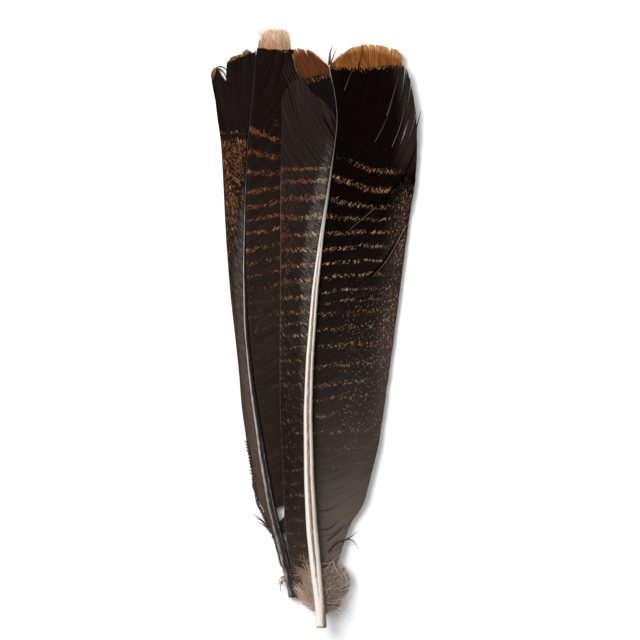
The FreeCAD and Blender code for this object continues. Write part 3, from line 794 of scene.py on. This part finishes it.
def make_lower_vanes():
    outer = Piece()
    vane(outer, lower_outer, [(-139, -21, -135.5, 0.02), (-132, -23.6, -123, 0.04),
        (-124, -27.4, -112.7, 0.05), (-117, -30.6, -106, 0.06), (-114.4, -29, -104.6, 0.06),
        (-111.4, -29.8, -100.6, 0.06), (-109, -34.6, -95, 0.07), (-100, -36.4, -82, 0.08),
        (-84, -39.8, -62, 0.09)], lower_outer_marks, seed=8, fray=1.7, slits=(16, 0.3, 0.6), layer=0.4,
        splits=[(0.36, 0.3, 2, 1), (0.48, 0.7, 2, 0.8), (0.57, 0.62, 0.97, 3.4)])
    vane(outer, lower_outer, [(-85, -39.6, -63, 0.09), (-66, -42.2, -43, 0.1), (-46, -43.7, -22, 0.1),
        (-26, -45.7, -0.5, 0.1), (-4, -48.3, 25, 0.1), (20, -50.6, 52, 0.1), (46, -52.3, 82, 0.1),
        (66, -53.6, 100, 0.1), (84, -54.9, 111.2, 0.09)], lower_outer_marks, seed=1, fray=0.4,
        slits=(6, 0.12, 0.4))
    random = np.random.default_rng(12)
    for y in np.linspace(-112, -66, 26):
        x = float(np.interp(y, (-112.7, -100.8, -82, -62), (-27.4, -33, -36.4, -39.8)))
        out, up = random.uniform(0.7, 1.7), random.uniform(0.2, 1.3)
        loose_barb(outer, lower_outer, [(x + 1, y - 1.2), (x, y), (x - out, y + up)], 1.5,
                   plain_marks(0.6), 0.1, 0.2)
    strands(outer, lower_outer, (
        ([(-26.8, -114.4), (-31, -110.4), (-36.4, -106.6)], 0.9),
        ([(-26.6, -115.4), (-30.6, -111.2), (-34.6, -108.8)], 0.8),
        ([(-26, -117), (-29.4, -113.4), (-33.2, -111.4)], 0.8),
        ([(-25.4, -118.2), (-28, -114.6), (-30.6, -113.4)], 0.7),
        ([(-30.2, -106.8), (-32.9, -102.2), (-34.9, -95.4)], 1.1),
        ([(-29.4, -104.4), (-31.7, -100.6), (-34.4, -96.6)], 0.5)), plain_marks(0.7), 0.1, 0.2)
    outer.build("lower_outer_vane_barbs", lower_vane_paint, DARK_FACE, "lower_outer_vane")

    curl = Piece()
    vane(curl, lower_outer, [(83.6, -54.8, 110.6, 0.09), (86, -56.2, 120, 0.08), (87.8, -57.4, 131, 0.07),
        (88.8, -57.8, 138, 0.06), (89.7, -59.8, 143.4, 0.06), (91, -59, 146.4, 0.05),
        (92.2, -57.3, 147.8, 0.05), (94.4, -53, 142.4, 0.05), (97, -48.8, 137, 0.06)], lower_outer_marks,
        seed=2, fray=0.25, slits=(2, 0.05, 0.3), lift=0.5)
    strands(curl, lower_outer, (
        ([(-57.6, 146.8), (-55.6, 148.2), (-52.6, 148), (-50.6, 145.8), (-49.4, 142.4)], 0.9),
        ([(-57, 147.2), (-54.8, 146.9), (-52.6, 145), (-50.5, 140.6), (-48.6, 136.6)], 0.8)),
        lower_outer_marks, 0.3, 0.1)
    curl.build("lower_tip_curl_barbs", lower_vane_paint, DARK_FACE, "lower_tip_curl")

    clump("lower_outer_tip_barbs", lower_vane_paint, DARK_FACE, "lower_outer_tip", lower_outer,
        [(95.6, -50.7, 150.6, 0.075), (101, -48.4, 153.4, 0.06), (112, -43.8, 155.4, 0.05),
        (124, -39.9, 157.8, 0.04), (136, -37.4, 157.2, 0.02), (147, -35.4, 156.4, 0.01),
        (154, -34.2, 158, 0)], lower_outer_marks, seed=3, fray=0.45, slits=(3, 0.04, 0.5), lift=0.2)

    inner = Piece()
    vane(inner, lower_inner, [(-127, -17, -125.6, 0), (-124, -17.2, -122.2, 0)], lower_inner_marks, seed=9,
        fray=0.5, slits=(1, 0.12, 0.5))
    vane(inner, lower_inner, [(-119, -15.4, -115.8, 0.02), (-115, -15, -110, 0.04),
        (-112, -15, -104.6, 0.05)], lower_inner_marks, seed=10, fray=0.7, slits=(2, 0.12, 0.5))
    vane(inner, lower_inner, [(-104, -15, -100.8, 0.02), (-100, -14.6, -92, 0.06), (-86, -12.6, -70, 0.09),
        (-58, -9.4, -38, 0.1), (-28, -7.2, -4, 0.1), (4, -6, 32, 0.1), (34, -5.8, 66, 0.1),
        (62, -6, 98, 0.1), (84, -7, 130, 0.1), (98, -8.6, 152, 0.1), (108, -12, 158, 0.1),
        (119, -18.6, 157.8, 0.1)], lower_inner_marks, seed=4, fray=0.5, slits=(12, 0.08, 0.4))
    inner.build("lower_inner_vane_barbs", lower_vane_paint, DARK_FACE, "lower_inner_vane")

    clump("lower_inner_tip_barbs", lower_vane_paint, DARK_FACE, "lower_inner_tip", lower_inner,
        [(117.4, -18.2, 158, 0.1), (125, -21, 158, 0.1), (134, -24.6, 158, 0.08), (145, -28.8, 158.4, 0.05),
        (154, -33.4, 158.8, 0)], lower_inner_marks, seed=5, fray=0.4, slits=(3, 0.05, 0.4), lift=0.7)

    buff = Piece()
    vane(buff, lower_inner, [(-33.4, 156.2, -33.4, 158.4, 0), (-32.6, 156.2, -31.6, 163.4, 0),
        (-30.6, 156.2, -29.6, 168.2, 0), (-26, 156.2, -25.4, 169.2, 0), (-21, 156.2, -20.6, 168.8, 0),
        (-17.8, 156.2, -16.8, 167.6, 0), (-15.6, 156.2, -14.4, 160, 0)], buff_marks, seed=6, fray=1.5,
        slits=(7, 0.3, 0.3), layer=0.3, lift=-0.3, wave=0.25)
    fuzz(buff, lower_inner, 340, (-32.8, -15.2), (158, 168.2), 3.6, buff_marks, seed=7)
    buff.build("lower_buff_tip_barbs", buff_paint, ("lower_feather", "buff_barbs"), "lower_buff_tip")


def fuzz(piece, face, count, x_range, y_range, length, marks, seed):
    """Fine hairs that stand out of a soft barb patch towards its tip."""
    random = np.random.default_rng(seed)
    for _ in range(count):
        x = random.uniform(*x_range)
        y = random.uniform(*y_range)
        turn = random.normal(0, 0.35)
        reach = length * random.uniform(0.5, 1.2)
        end = (x + reach * math.sin(turn), y + reach * math.cos(turn))
        middle = ((x + end[0]) / 2 + random.normal(0, 0.3), (y + end[1]) / 2)
        loose_barb(piece, face, [(x, y), middle, end], 0.16, marks, 0.2, random.uniform(0, 0.9))


def hook(x, y, angle, reach, bend):
    """Path of a short strand to a point at some angle and reach, bent on the way there."""
    return [(x, y),
            (x + reach * 0.5 * math.cos(angle + bend), y + reach * 0.5 * math.sin(angle + bend)),
            (x + reach * math.cos(angle), y + reach * math.sin(angle))]


def make_lower_strays():
    random = np.random.default_rng(11)
    broken = Piece()
    for _ in range(30):
        y = random.uniform(-122, -74)
        x = float(np.interp(y, (-124, -112, -100, -82, -62), (-23, -27, -33, -36, -39.4))) + 0.6
        angle = math.radians(random.normal(150, 30))
        path = hook(x, y, angle, random.uniform(0.8, 2.2), 0.5)
        loose_barb(broken, lower_outer, path, random.uniform(0.5, 0.9), plain_marks(0.5), 0.1,
                   random.uniform(-0.4, 0.3))
    broken.build("lower_broken_barb_strands", lower_vane_paint, DARK_FACE, "lower_broken_barbs")

    tuft = Piece()
    loose_barb(tuft, lower_outer, [(-19, -144.8), (-19.9, -148.6), (-19.7, -152.6)], 0.6,
               plain_marks(0.2), 0, 0.3)
    for _ in range(8):
        y = random.uniform(-146, -141.5)
        x = float(lower.x(y)) - 2.4
        angle = math.radians(random.uniform(172, 268))
        path = hook(x, y, angle, random.uniform(2.5, 7), -0.3)
        loose_barb(tuft, lower_outer, path, random.uniform(0.35, 0.7), plain_marks(0.2), 0, 0.3)
    tuft.build("lower_base_tuft_strands", tuft_paint, ("lower_feather", "down"), "lower_base_tuft")


# ---------------------------------------------------------------- upper feather

def wide_clump(part, guides, **look):
    clump(f"upper_wide_{part}_barbs", upper_wide_paint, UNDER_FACE, f"upper_wide_{part}_clump", upper_wide,
        guides, upper_wide_marks, **look)


def make_upper_vanes():
    clump("upper_narrow_vane_barbs", upper_narrow_paint, UNDER_FACE, "upper_narrow_vane", upper_narrow,
        [(-151, -5.4, -151.4, 0), (-146, -9.6, -147.4, 0), (-142, -12.9, -140.6, 0.03),
        (-136, -14.8, -132, 0.05), (-128, -16.9, -118, 0.08), (-110, -18, -96, 0.1), (-90, -18.9, -75, 0.1),
        (-68, -20.1, -50, 0.1), (-40, -20.3, -20, 0.1), (-10, -20.1, 14, 0.1), (18, -20, 44, 0.1),
        (42, -19.9, 70, 0.1), (60, -19.7, 92, 0.1), (76, -19.3, 112, 0.1), (86, -18.2, 132, 0.09),
        (90, -15.4, 136.6, 0.08), (97, -8.6, 141.4, 0.07), (103, -3.8, 135.6, 0.05), (110, 6.6, 126, 0.03),
        (116, 11, 119.6, 0)], upper_narrow_marks, seed=21, fray=0.35, slits=(10, 0.08, 0.3), lift=0.5,
        splits=[(0.875, 0.45, 2, 0.7), (0.892, 0.35, 2, 0.8), (0.915, 0.6, 2, 0.4)])

    tip = Piece()
    vane(tip, upper_narrow, [(106, -9.6, 142, 0), (112, -13, 152.6, 0), (118, -12.4, 157, 0.02),
        (124, -8.6, 158.2, 0.04), (130, -4.4, 157.6, 0.04), (136, -0.8, 155.4, 0.04), (142, 3.2, 152, 0.02),
        (147.5, 6.6, 149.2, 0)], upper_tip_marks, seed=22, fray=0.8, slits=(5, 0.1, 0.4), lift=-0.9,
        splits=[(0.55, 0.86, 2, 0.8)])
    strands(tip, upper_narrow, (
        ([(-7.4, 139.4), (-11.4, 145.4), (-13.2, 153.8)], 1.5),
        ([(-8.8, 138.6), (-12.6, 144.6), (-14.6, 152.8)], 1.5),
        ([(-10.4, 137.6), (-13.9, 143.6), (-15.8, 152)], 1.5),
        ([(-11.8, 137), (-15, 142.6), (-17, 150.2)], 1.5),
        ([(-13.4, 136), (-16.4, 141.4), (-18.4, 147.4)], 1.5),
        ([(-6.2, 140), (-10, 146.4), (-12.6, 156.6)], 1.5)), plain_marks(0.8), -0.9, 0.1)
    tip.build("upper_narrow_tip_barbs", upper_tip_paint, UNDER_FACE, "upper_narrow_tip")

    wide_clump("base", [(-145, 8, -143, 0), (-140, 12, -136, 0.02), (-133, 16.4, -123, 0.06),
        (-125, 20.2, -112.6, 0.09), (-115, 26.8, -102.4, 0.11), (-103, 31.2, -87.4, 0.11),
        (-90, 35.8, -68.4, 0.11), (-74, 39.7, -43, 0.11), (-57, 43.3, -18, 0.11), (-39, 46.6, 7, 0.11),
        (-19, 50.4, 37, 0.11), (2, 54.6, 68, 0.11)], seed=31, fray=0.35, slits=(7, 0.07, 0.4), layer=0.2,
        wave=0.12, splits=[(0.06, 0.6, 2, 0.8), (0.11, 0.55, 2, 0.8)])

    wide_clump("middle", [(1, 54.4, 67.4, 0.11), (11, 56.4, 78, 0.11), (22, 57.4, 88, 0.11),
        (32, 57.9, 97, 0.11), (41, 58, 106.6, 0.108)], seed=32, fray=0.35, slits=(4, 0.06, 0.4), lift=0.9)

    wide_clump("outer", [(40, 57.9, 105.8, 0.108), (48, 57.6, 118, 0.11), (54, 56, 129, 0.115),
        (61, 54.2, 139.4, 0.12), (67, 52.6, 144.4, 0.12), (73, 50.8, 148, 0.12),
        (80.5, 48.4, 149.4, 0.125)], seed=33, fray=0.6, slits=(3, 0.08, 0.5), lift=1.9,
        splits=[(0.28, 0.8, 2, 0.7), (0.46, 0.7, 0.9, 2.4), (0.62, 0.8, 2, 0.8), (0.86, 0.78, 2, 1.2)])

    wide_clump("slit", [(75.4, 49.4, 154.8, 0.125), (79, 47.4, 156.6, 0.125), (85, 43.4, 158.4, 0.12),
        (93.6, 38.2, 159.9, 0.115)], seed=34, fray=0.4, slits=(1, 0.03, 0.4), lift=1.4,
        splits=[(0.66, 0.955, 2, 1.6)])

    wide_clump("inner", [(92.6, 38.8, 159.8, 0.115), (103, 28.4, 160.7, 0.095), (114, 20.4, 158.8, 0.07),
        (126, 13.8, 154.4, 0.04), (137, 10.2, 150.8, 0.02), (146, 8.2, 149.2, 0)], seed=35, fray=0.45,
        slits=(3, 0.03, 0.4), lift=0.8, splits=[(0.2, 0.975, 2, 0.7)])


def make_upper_strays():
    loose = Piece()
    strands(loose, upper_wide, (
        ([(54.6, 101), (57.4, 112), (60.2, 123)], 1, 0.3),
        ([(24.5, 147.4), (26, 156), (27.4, 164.5)], 0.7, 1.2),
        ([(7.6, 148.8), (8.2, 156), (10.8, 162.4)], 0.9, 0.6),
        ([(8.4, 149), (8.6, 154), (9.4, 160)], 0.8, 0.4),
        ([(8.6, 149.4), (10.6, 155), (12.6, 159.4)], 0.8, 0.4),
        ([(34.9, 68.1), (43.1, 77.3), (51.4, 88.4), (57.2, 100.4)], 1.3, 1.6),
        ([(31.2, 28.6), (39.8, 38.2), (45, 46.8), (51, 58.4)], 0.9, 0.7),
        ([(7, -128.6), (12.2, -123.4), (18.1, -121.2), (24.4, -117)], 1.2, 0.4),
        ([(15, -123), (18.6, -121.4), (21.5, -122.4), (24.4, -126.9)], 0.8, 0.4),
        ([(2.3, -105.2), (7.4, -104.8), (13, -101.2)], 0.5, 0.3),
        ([(2.3, -115.8), (6.8, -115.6), (13.6, -110.6)], 0.7, 0.3),
        ([(6.4, -122.3), (10.6, -119.3), (16.2, -113)], 0.7, 0.3)), strand_marks, 0, 0.6)
    loose.build("upper_loose_barb_strands", upper_wide_paint, UNDER_FACE, "upper_loose_barbs")

    # painted highlights: thin pale strands along the splits, where the edge of a raised clump catches the
    # light
    edges = Piece()
    strands(edges, upper_wide, (
        ([(16.5, 134.2), (18.8, 140.6), (21.7, 147.4)], 0.4, 1.6),
        ([(40.8, 120), (45, 134), (47.4, 143)], 0.4, 2),
        ([(34, 105), (40, 117), (44, 128.4)], 0.3, 1.8),
        ([(43.6, 102), (48.6, 114.9), (50.6, 124), (51.6, 134)], 0.4, 2),
        ([(34.9, 68.1), (26, 60.6), (16.6, 52.4)], 0.6, 0.9),
        ([(51.8, 57.4), (45.6, 45.6), (40.5, 37), (31.9, 27.4)], 0.7, 0.9),
        ([(1.2, -105), (6.4, -104.5), (12.2, -101)], 0.25, 0.5),
        ([(2.3, -115.4), (5.8, -115.2), (12.2, -110.5)], 0.35, 0.5),
        ([(6.4, -121.9), (9.9, -119), (14.6, -113.2)], 0.35, 0.5),
        ([(7.6, -128.6), (12.2, -126.6), (17.5, -122.5)], 0.3, 0.5),
        ([(7.4, -127.4), (12.2, -122.4), (17.6, -120.4)], 0.3, 1),
        ([(2.3, -134.7), (9.9, -133.2), (12.6, -137.4), (13.4, -141)], 0.4, 2.2)), plain_marks(0), 0, 0.2)
    edges.build("upper_lit_edges", lit_edge_highlight_paint, UNDER_FACE)


class Level:
    """Height of the down, which stands off the vanes and falls away on both sides of the quill."""

    def __init__(self, side, top, fall):
        self.shaft = upper
        self.side = side
        self.top = top
        self.fall = fall

    def height(self, x, y):
        return self.top - self.fall * np.abs(x - upper.x(y))


def filaments(piece, side, count, root_y, heading, length, seed, width=0.3, far=0):
    """Long pale curved barbs of down, from beside the quill."""
    random = np.random.default_rng(seed)
    for _ in range(count):
        y = random.uniform(*root_y)
        x = float(upper.x(y)) + side * (float(upper.half_width(y)) * 0.8 + random.uniform(0, far))
        z = float(upper.z(y)) + random.uniform(-1.6, 0.8)
        angle = math.radians(random.uniform(*heading))
        curl = random.normal(0, 0.8)
        reach = random.uniform(*length)
        path = [(x, y, z)]
        for step in range(1, FILAMENT_STEPS + 1):
            turn = angle + curl * (step / FILAMENT_STEPS) ** 1.5
            x += side * math.cos(turn) * reach / FILAMENT_STEPS
            y += math.sin(turn) * reach / FILAMENT_STEPS
            z = max(z + random.normal(-0.06, 0.12), FLOOR_CLEARANCE + 0.4)
            path.append((x, y, z))
        share = np.linspace(0, 1, FILAMENT_STEPS + 1)
        piece.tube(path, width / 2 * (1 - 0.75 * share), {"fade": share})


def make_upper_down():
    left = Piece()
    vane(left, Level(-1, 8.6, 0.12), [(-161.8, -1.2, -162.4, 0), (-160.6, -6, -158.6, 0.05),
        (-158.6, -9.8, -154.4, 0.08), (-155.4, -11.8, -150.4, 0.1), (-151.6, -11, -147, 0.12),
        (-148.6, -8.4, -143.6, 0.12)], down_marks, seed=41, fray=2, slits=(26, 0.5, 0.3), layer=0.9,
        wave=0.4)
    filaments(left, -1, 320, (-161.5, -141), (30, 84), (6, 15), seed=43, width=0.2)
    left.build("upper_left_down", left_down_paint, UPPER_DOWN, "upper_left_fluff")

    right = Piece()
    vane(right, Level(1, 8.4, 0.16), [(-160.5, 6, -163.4, 0), (-157, 12.6, -160.4, 0.06),
        (-153, 17.4, -154, 0.1), (-148, 19.8, -147, 0.12), (-144, 18.8, -140, 0.14),
        (-141, 14.2, -136.4, 0.14), (-139, 8.4, -137, 0.1)], down_marks, seed=42, fray=1.4,
        slits=(26, 0.55, 0.45), layer=0.8, wave=0.4)
    filaments(right, 1, 220, (-161, -137), (-30, 50), (6, 15.5), seed=45, width=0.18)
    right.build("upper_right_down", right_down_paint, UPPER_DOWN, "upper_right_fluff")

    pale = Piece()
    strands(pale, Level(1, 9.4, 0.12), (
        ([(9.9, -133.6), (12.5, -139.1), (16, -143.7)], 1),
        ([(16, -140), (18, -144.6), (17.4, -148.7)], 0.8),
        ([(2.9, -141.4), (5.8, -141.1), (7.9, -139.4)], 0.4),
        ([(4.1, -145.5), (8.1, -144.9), (11.6, -142.3)], 0.45),
        ([(5.8, -152.8), (9.3, -151.6), (12, -152.8), (9.3, -155.6), (5.6, -159)], 0.5),
        ([(2.3, -134.7), (6.4, -134.8), (9.9, -133.6)], 0.4),
        ([(6.4, -156.8), (11.1, -150.4), (15.7, -147.5)], 0.4),
        ([(7.8, -143), (6.9, -150.4), (5.2, -155.1)], 0.4),
        ([(5.4, -161), (10.4, -158.4), (14.4, -152.6)], 0.4),
        ([(-6.4, -141.7), (-5.8, -146.9), (-3.3, -151.6)], 0.45),
        ([(-9.3, -145.4), (-6.4, -150.4), (-2.3, -155.7)], 0.45),
        ([(-12.6, -144.6), (-9.9, -150.4), (-4.8, -156.8)], 0.45),
        ([(-3.2, -143.4), (-3.4, -148), (-2.6, -153)], 0.4)), down_marks, 0, 0.6)
    filaments(pale, 1, 26, (-160, -138), (-20, 70), (6, 14), seed=44, width=0.26, far=6)
    filaments(pale, -1, 22, (-160, -142), (40, 100), (5, 13), seed=46, width=0.22, far=6)
    filaments(pale, 1, 18, (-163, -156), (-35, 10), (8, 22), seed=47, width=0.12)
    pale.build("upper_down_filaments", filament_paint, UPPER_DOWN)


# ---------------------------------------------------------------- quills

ROUNDNESS = 2.3            # power of the section's outline; 2 is an ellipse
RING_STEP = 1.5            # between the rings of a quill
# painted shade inside the hollow and on the cut end
HOLLOW_PAINTED_SHADE = 0.9      # rim mark inside the hollow
# Where the outline's points lie across a section, on its plain face and on its grooved face
HORN_TOP = np.array([-1.0, -0.92, -0.75, -0.5, -0.25, 0.0, 0.25, 0.5, 0.75, 0.92])
HORN_FOOT = np.array([1.0, 0.94, 0.86, 0.76, 0.66, 0.56, 0.47, 0.39, 0.32, 0.26, 0.2, 0.14, 0.07])


def make_quill(name, shaft, back, material, place, nodes, marks, groove, narrowing, nick):
    """Quill and shaft as one horny skin, hollow at the cut end. back is 1 if its plain back is up
    and -1 if its grooved face is, groove the y, widths and depths of the groove, narrowing the y
    and how thin it is there against the CAD shaft, nick the depth of the bite in its cut end."""
    foot = np.concatenate([HORN_FOOT, [0.0], -HORN_FOOT[:0:-1]])
    side = np.concatenate([HORN_TOP, foot])
    bulge = (1 - np.abs(side) ** ROUNDNESS) ** (1 / ROUNDNESS)
    upright = np.concatenate([bulge[:len(HORN_TOP)], -bulge[len(HORN_TOP):]])
    count = len(side)
    on_foot = np.arange(count) >= len(HORN_TOP)
    ys = np.concatenate([np.arange(shaft.low + 0.5, shaft.high - 0.4, RING_STEP), [shaft.high - 0.2]])
    random = np.random.default_rng(51)
    ragged = random.normal(0, 0.22, count) + nick * np.exp(-((side - 0.1) / 0.16) ** 2) * ~on_foot
    rings = []
    values = {mark: [] for mark in ("across", "along", "fade", "rust", "rim")}
    for row, y in enumerate(ys):
        width = np.interp(y, groove[0], groove[1])
        depth = np.interp(y, groove[0], groove[2])
        notch = np.exp(-(np.abs(side) / width) ** 4) * on_foot
        thin = np.interp(y, *narrowing)
        wide = float(shaft.half_width(y)) * thin
        tall = float(shaft.half_height(y)) * thin
        x = float(shaft.x(y)) + side * wide
        z = float(shaft.z(y)) + (upright + depth * notch) * tall * back
        rings.append(np.stack([x, y + ragged * max(0.0, 1 - row / 3), z], 1))
        own = marks(y, side, upright, notch)
        values["across"].append(side * wide * (1 + on_foot))
        values["along"].append(np.full(count, y))
        for mark in ("fade", "rust", "rim"):
            values[mark].append(own[mark] + np.zeros(count))
    inner = []
    for depth in (0.0, 4.0, LUMEN_DEPTH):
        y = ys[0] + depth
        x = float(shaft.x(y)) + side * (float(shaft.half_width(y)) - WALL)
        z = float(shaft.z(y)) + upright * (float(shaft.half_height(y)) - WALL) * back
        inner.append(np.stack([x, y + ragged * (depth == 0.0), z], 1))
    grid = np.array(inner[::-1] + rings)
    index = np.arange(grid.shape[0] * count).reshape(grid.shape[0], count)
    faces = quads(np.concatenate([index, index[:, :1]], 1))
    spread = {mark: np.concatenate([np.tile(value[0], len(inner)), np.concatenate(value)])
              for mark, value in values.items()}
    # painted shade: the inside of the hollow and the cut end take the darker centre colour
    spread["rim"][:count * (len(inner) + 1)] = HOLLOW_PAINTED_SHADE
    piece = Piece()
    piece.add(grid, faces, spread)
    close_ends(piece.build(name, material, place, *nodes))


def close_ends(piece):
    """Caps the open rings at a quill's tip and at the foot of its hollow."""
    mesh = bmesh.new()
    mesh.from_mesh(piece.data)
    bmesh.ops.holes_fill(mesh, edges=[e for e in mesh.edges if e.is_boundary], sides=0)
    bmesh.ops.recalc_face_normals(mesh, faces=mesh.faces)
    mesh.to_mesh(piece.data)
    mesh.free()


def upper_quill_marks(y, side, upright, notch):
    """Brown lining in the groove, darker along the right side towards the cut end, and a greyer upper shaft
    with a pale stretch near the tip.
    """
    lining = notch * np.interp(y, (-160, -150, -132, 10, 60), (0, 0.4, 0.8, 0.85, 0.5))
    right = ramp(side, np.interp(y, (-164, -140), (-0.3, 0.5)), 1)
    lining = np.maximum(lining, right * np.interp(y, (-164, -140), (1.1, 0.55)))
    grey = np.interp(y, (34, 78, 100, 138, 146), (0, 0.72, 0.97, 0.94, 0.5))
    line = np.exp(-((side - 0.05) / 0.07) ** 2) * notch * np.interp(y, (-156, -132, 0, 40), (0, 1, 1, 0.3))
    return {"fade": lining, "rust": grey, "rim": line}


def lower_quill_marks(y, side, upright, notch):
    """Painted highlight: a pale streak along the left of the back face, strongest over the middle of the
    shaft, and a fainter painted highlight line right of the middle on the lower shaft.
    """
    width = np.interp(y, (-150, -90, -40, 60), (0.1, 0.1, -0.05, 0))
    # painted highlight on the left of the back face, and a fainter painted highlight line right of the
    # middle
    streak = ramp(upright, 0.1, 0.6) * (1 - ramp(side, width - 0.8, width)) * ramp(side, -1, -0.85)
    strength = np.interp(y, (-150, -95, -50, 45, 75, 105), (0.46, 0.6, 0.95, 1, 0.4, 0.1))
    second_highlight = 0.4 * np.exp(-((side - 0.5) / 0.12) ** 2) * ramp(-y, 40, 90) * ramp(upright, 0.1, 0.6)
    return {"fade": streak * strength + second_highlight, "rust": float(ramp(y, 60, 110)),
            "rim": 0.5 * ramp(-y, 60, 130) * (1 - streak)}


def make_quills():
    make_quill("lower_quill", lower, 1, dark_quill_paint, ("lower_feather", "dark_quill"),
        ["lower_barrel", "lower_shaft"], lower_quill_marks, ((-120, -100, 120, 150), (0.2, 0.2, 0.2, 0.2),
        (0, 0.35, 0.35, 0)), ((20, 100, 157), (1, 0.62, 0.5)), 1.4)
    make_quill("upper_quill", upper, -1, cream_quill_paint, ("upper_feather", "cream_quill"),
        ["upper_barrel", "upper_shaft"], upper_quill_marks, ((-158, -150, -135, -100, -40, 30, 70),
        (0.12, 0.22, 0.3, 0.37, 0.42, 0.4, 0.3), (0, 0.05, 0.08, 0.12, 0.19, 0.2, 0)),
        ((40, 70, 100, 148), (1, 0.84, 0.7, 0.56)), 0)
    for node, paint in (("lower_pith", pith_paint), ("upper_pith", pith_paint),
                        ("lower_pulp_caps", pulp_paint), ("upper_pulp_caps", pulp_paint)):
        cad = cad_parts[node]
        cad.data.materials.clear()
        cad.data.materials.append(paint)


# ---------------------------------------------------------------- stage, light and camera

FLOOR_REACH = 3.0          # half the floor's side, in metres
FLOOR_GAP = 0.0002         # from the floor to the lowest point, in metres
FLOOR_TONES = ((0.93, 0.93, 0.93, 1), (0.96, 0.96, 0.96, 1))
SKY = 0.42
# Name, place in metres, width in metres and power in watts; each faces the middle
LAMPS = (("key", (-0.70, 0.50, 0.95), 0.7, 20.0),
         ("top", (0.1, 0.5, 1.3), 0.8, 3.0))

LENS, SENSOR = 100.0, 36.0
VIEW_WIDTH = 0.3648        # width that the camera takes in, in metres
SHIFT = (2.6, 3.5)         # of the camera from the middle of the feathers


def make_stage():
    mesh = bpy.data.meshes.new("floor")
    height = CAD_BOX[0].z - FLOOR_GAP
    corners = [(x * FLOOR_REACH, y * FLOOR_REACH, height)
               for x, y in ((-1, -1), (1, -1), (1, 1), (-1, 1))]
    mesh.from_pydata(corners, [], [(0, 1, 2, 3)])
    floor = placed("floor", mesh)
    n = Nodes("floor_paint")
    mesh.materials.append(n.finish(n.mix(n.noise(n.place(40)), *FLOOR_TONES), 0.9, 0))

    world = bpy.data.worlds.new("studio")
    bpy.context.scene.world = world
    world.use_nodes = True
    sky = world.node_tree.nodes["Background"].inputs
    sky["Color"].default_value = (1, 1, 1, 1)
    sky["Strength"].default_value = SKY
    for name, place, width, power in LAMPS:
        light = bpy.data.lights.new(name, "AREA")
        light.size = width
        light.energy = power
        lamp = placed(name, light)
        lamp.location = place
        lamp.rotation_euler = (-Vector(place)).to_track_quat("-Z", "Y").to_euler()


def make_camera():
    """Straight above, at the height from which the lens takes in the view's width."""
    low, high = CAD_BOX
    data = bpy.data.cameras.new("camera")
    data.lens = LENS
    data.sensor_width = SENSOR
    camera = placed("camera", data)
    centre = (low + high) / 2
    camera.location = (centre.x + SHIFT[0] * MM, centre.y + SHIFT[1] * MM,
                       high.z * 0.3 + VIEW_WIDTH * LENS / SENSOR)
    bpy.context.scene.camera = camera
    bpy.context.scene.view_settings.view_transform = "Standard"


make_camera()
make_stage()
make_lower_vanes()
make_lower_strays()
make_upper_vanes()
make_upper_strays()
make_upper_down()
make_quills()
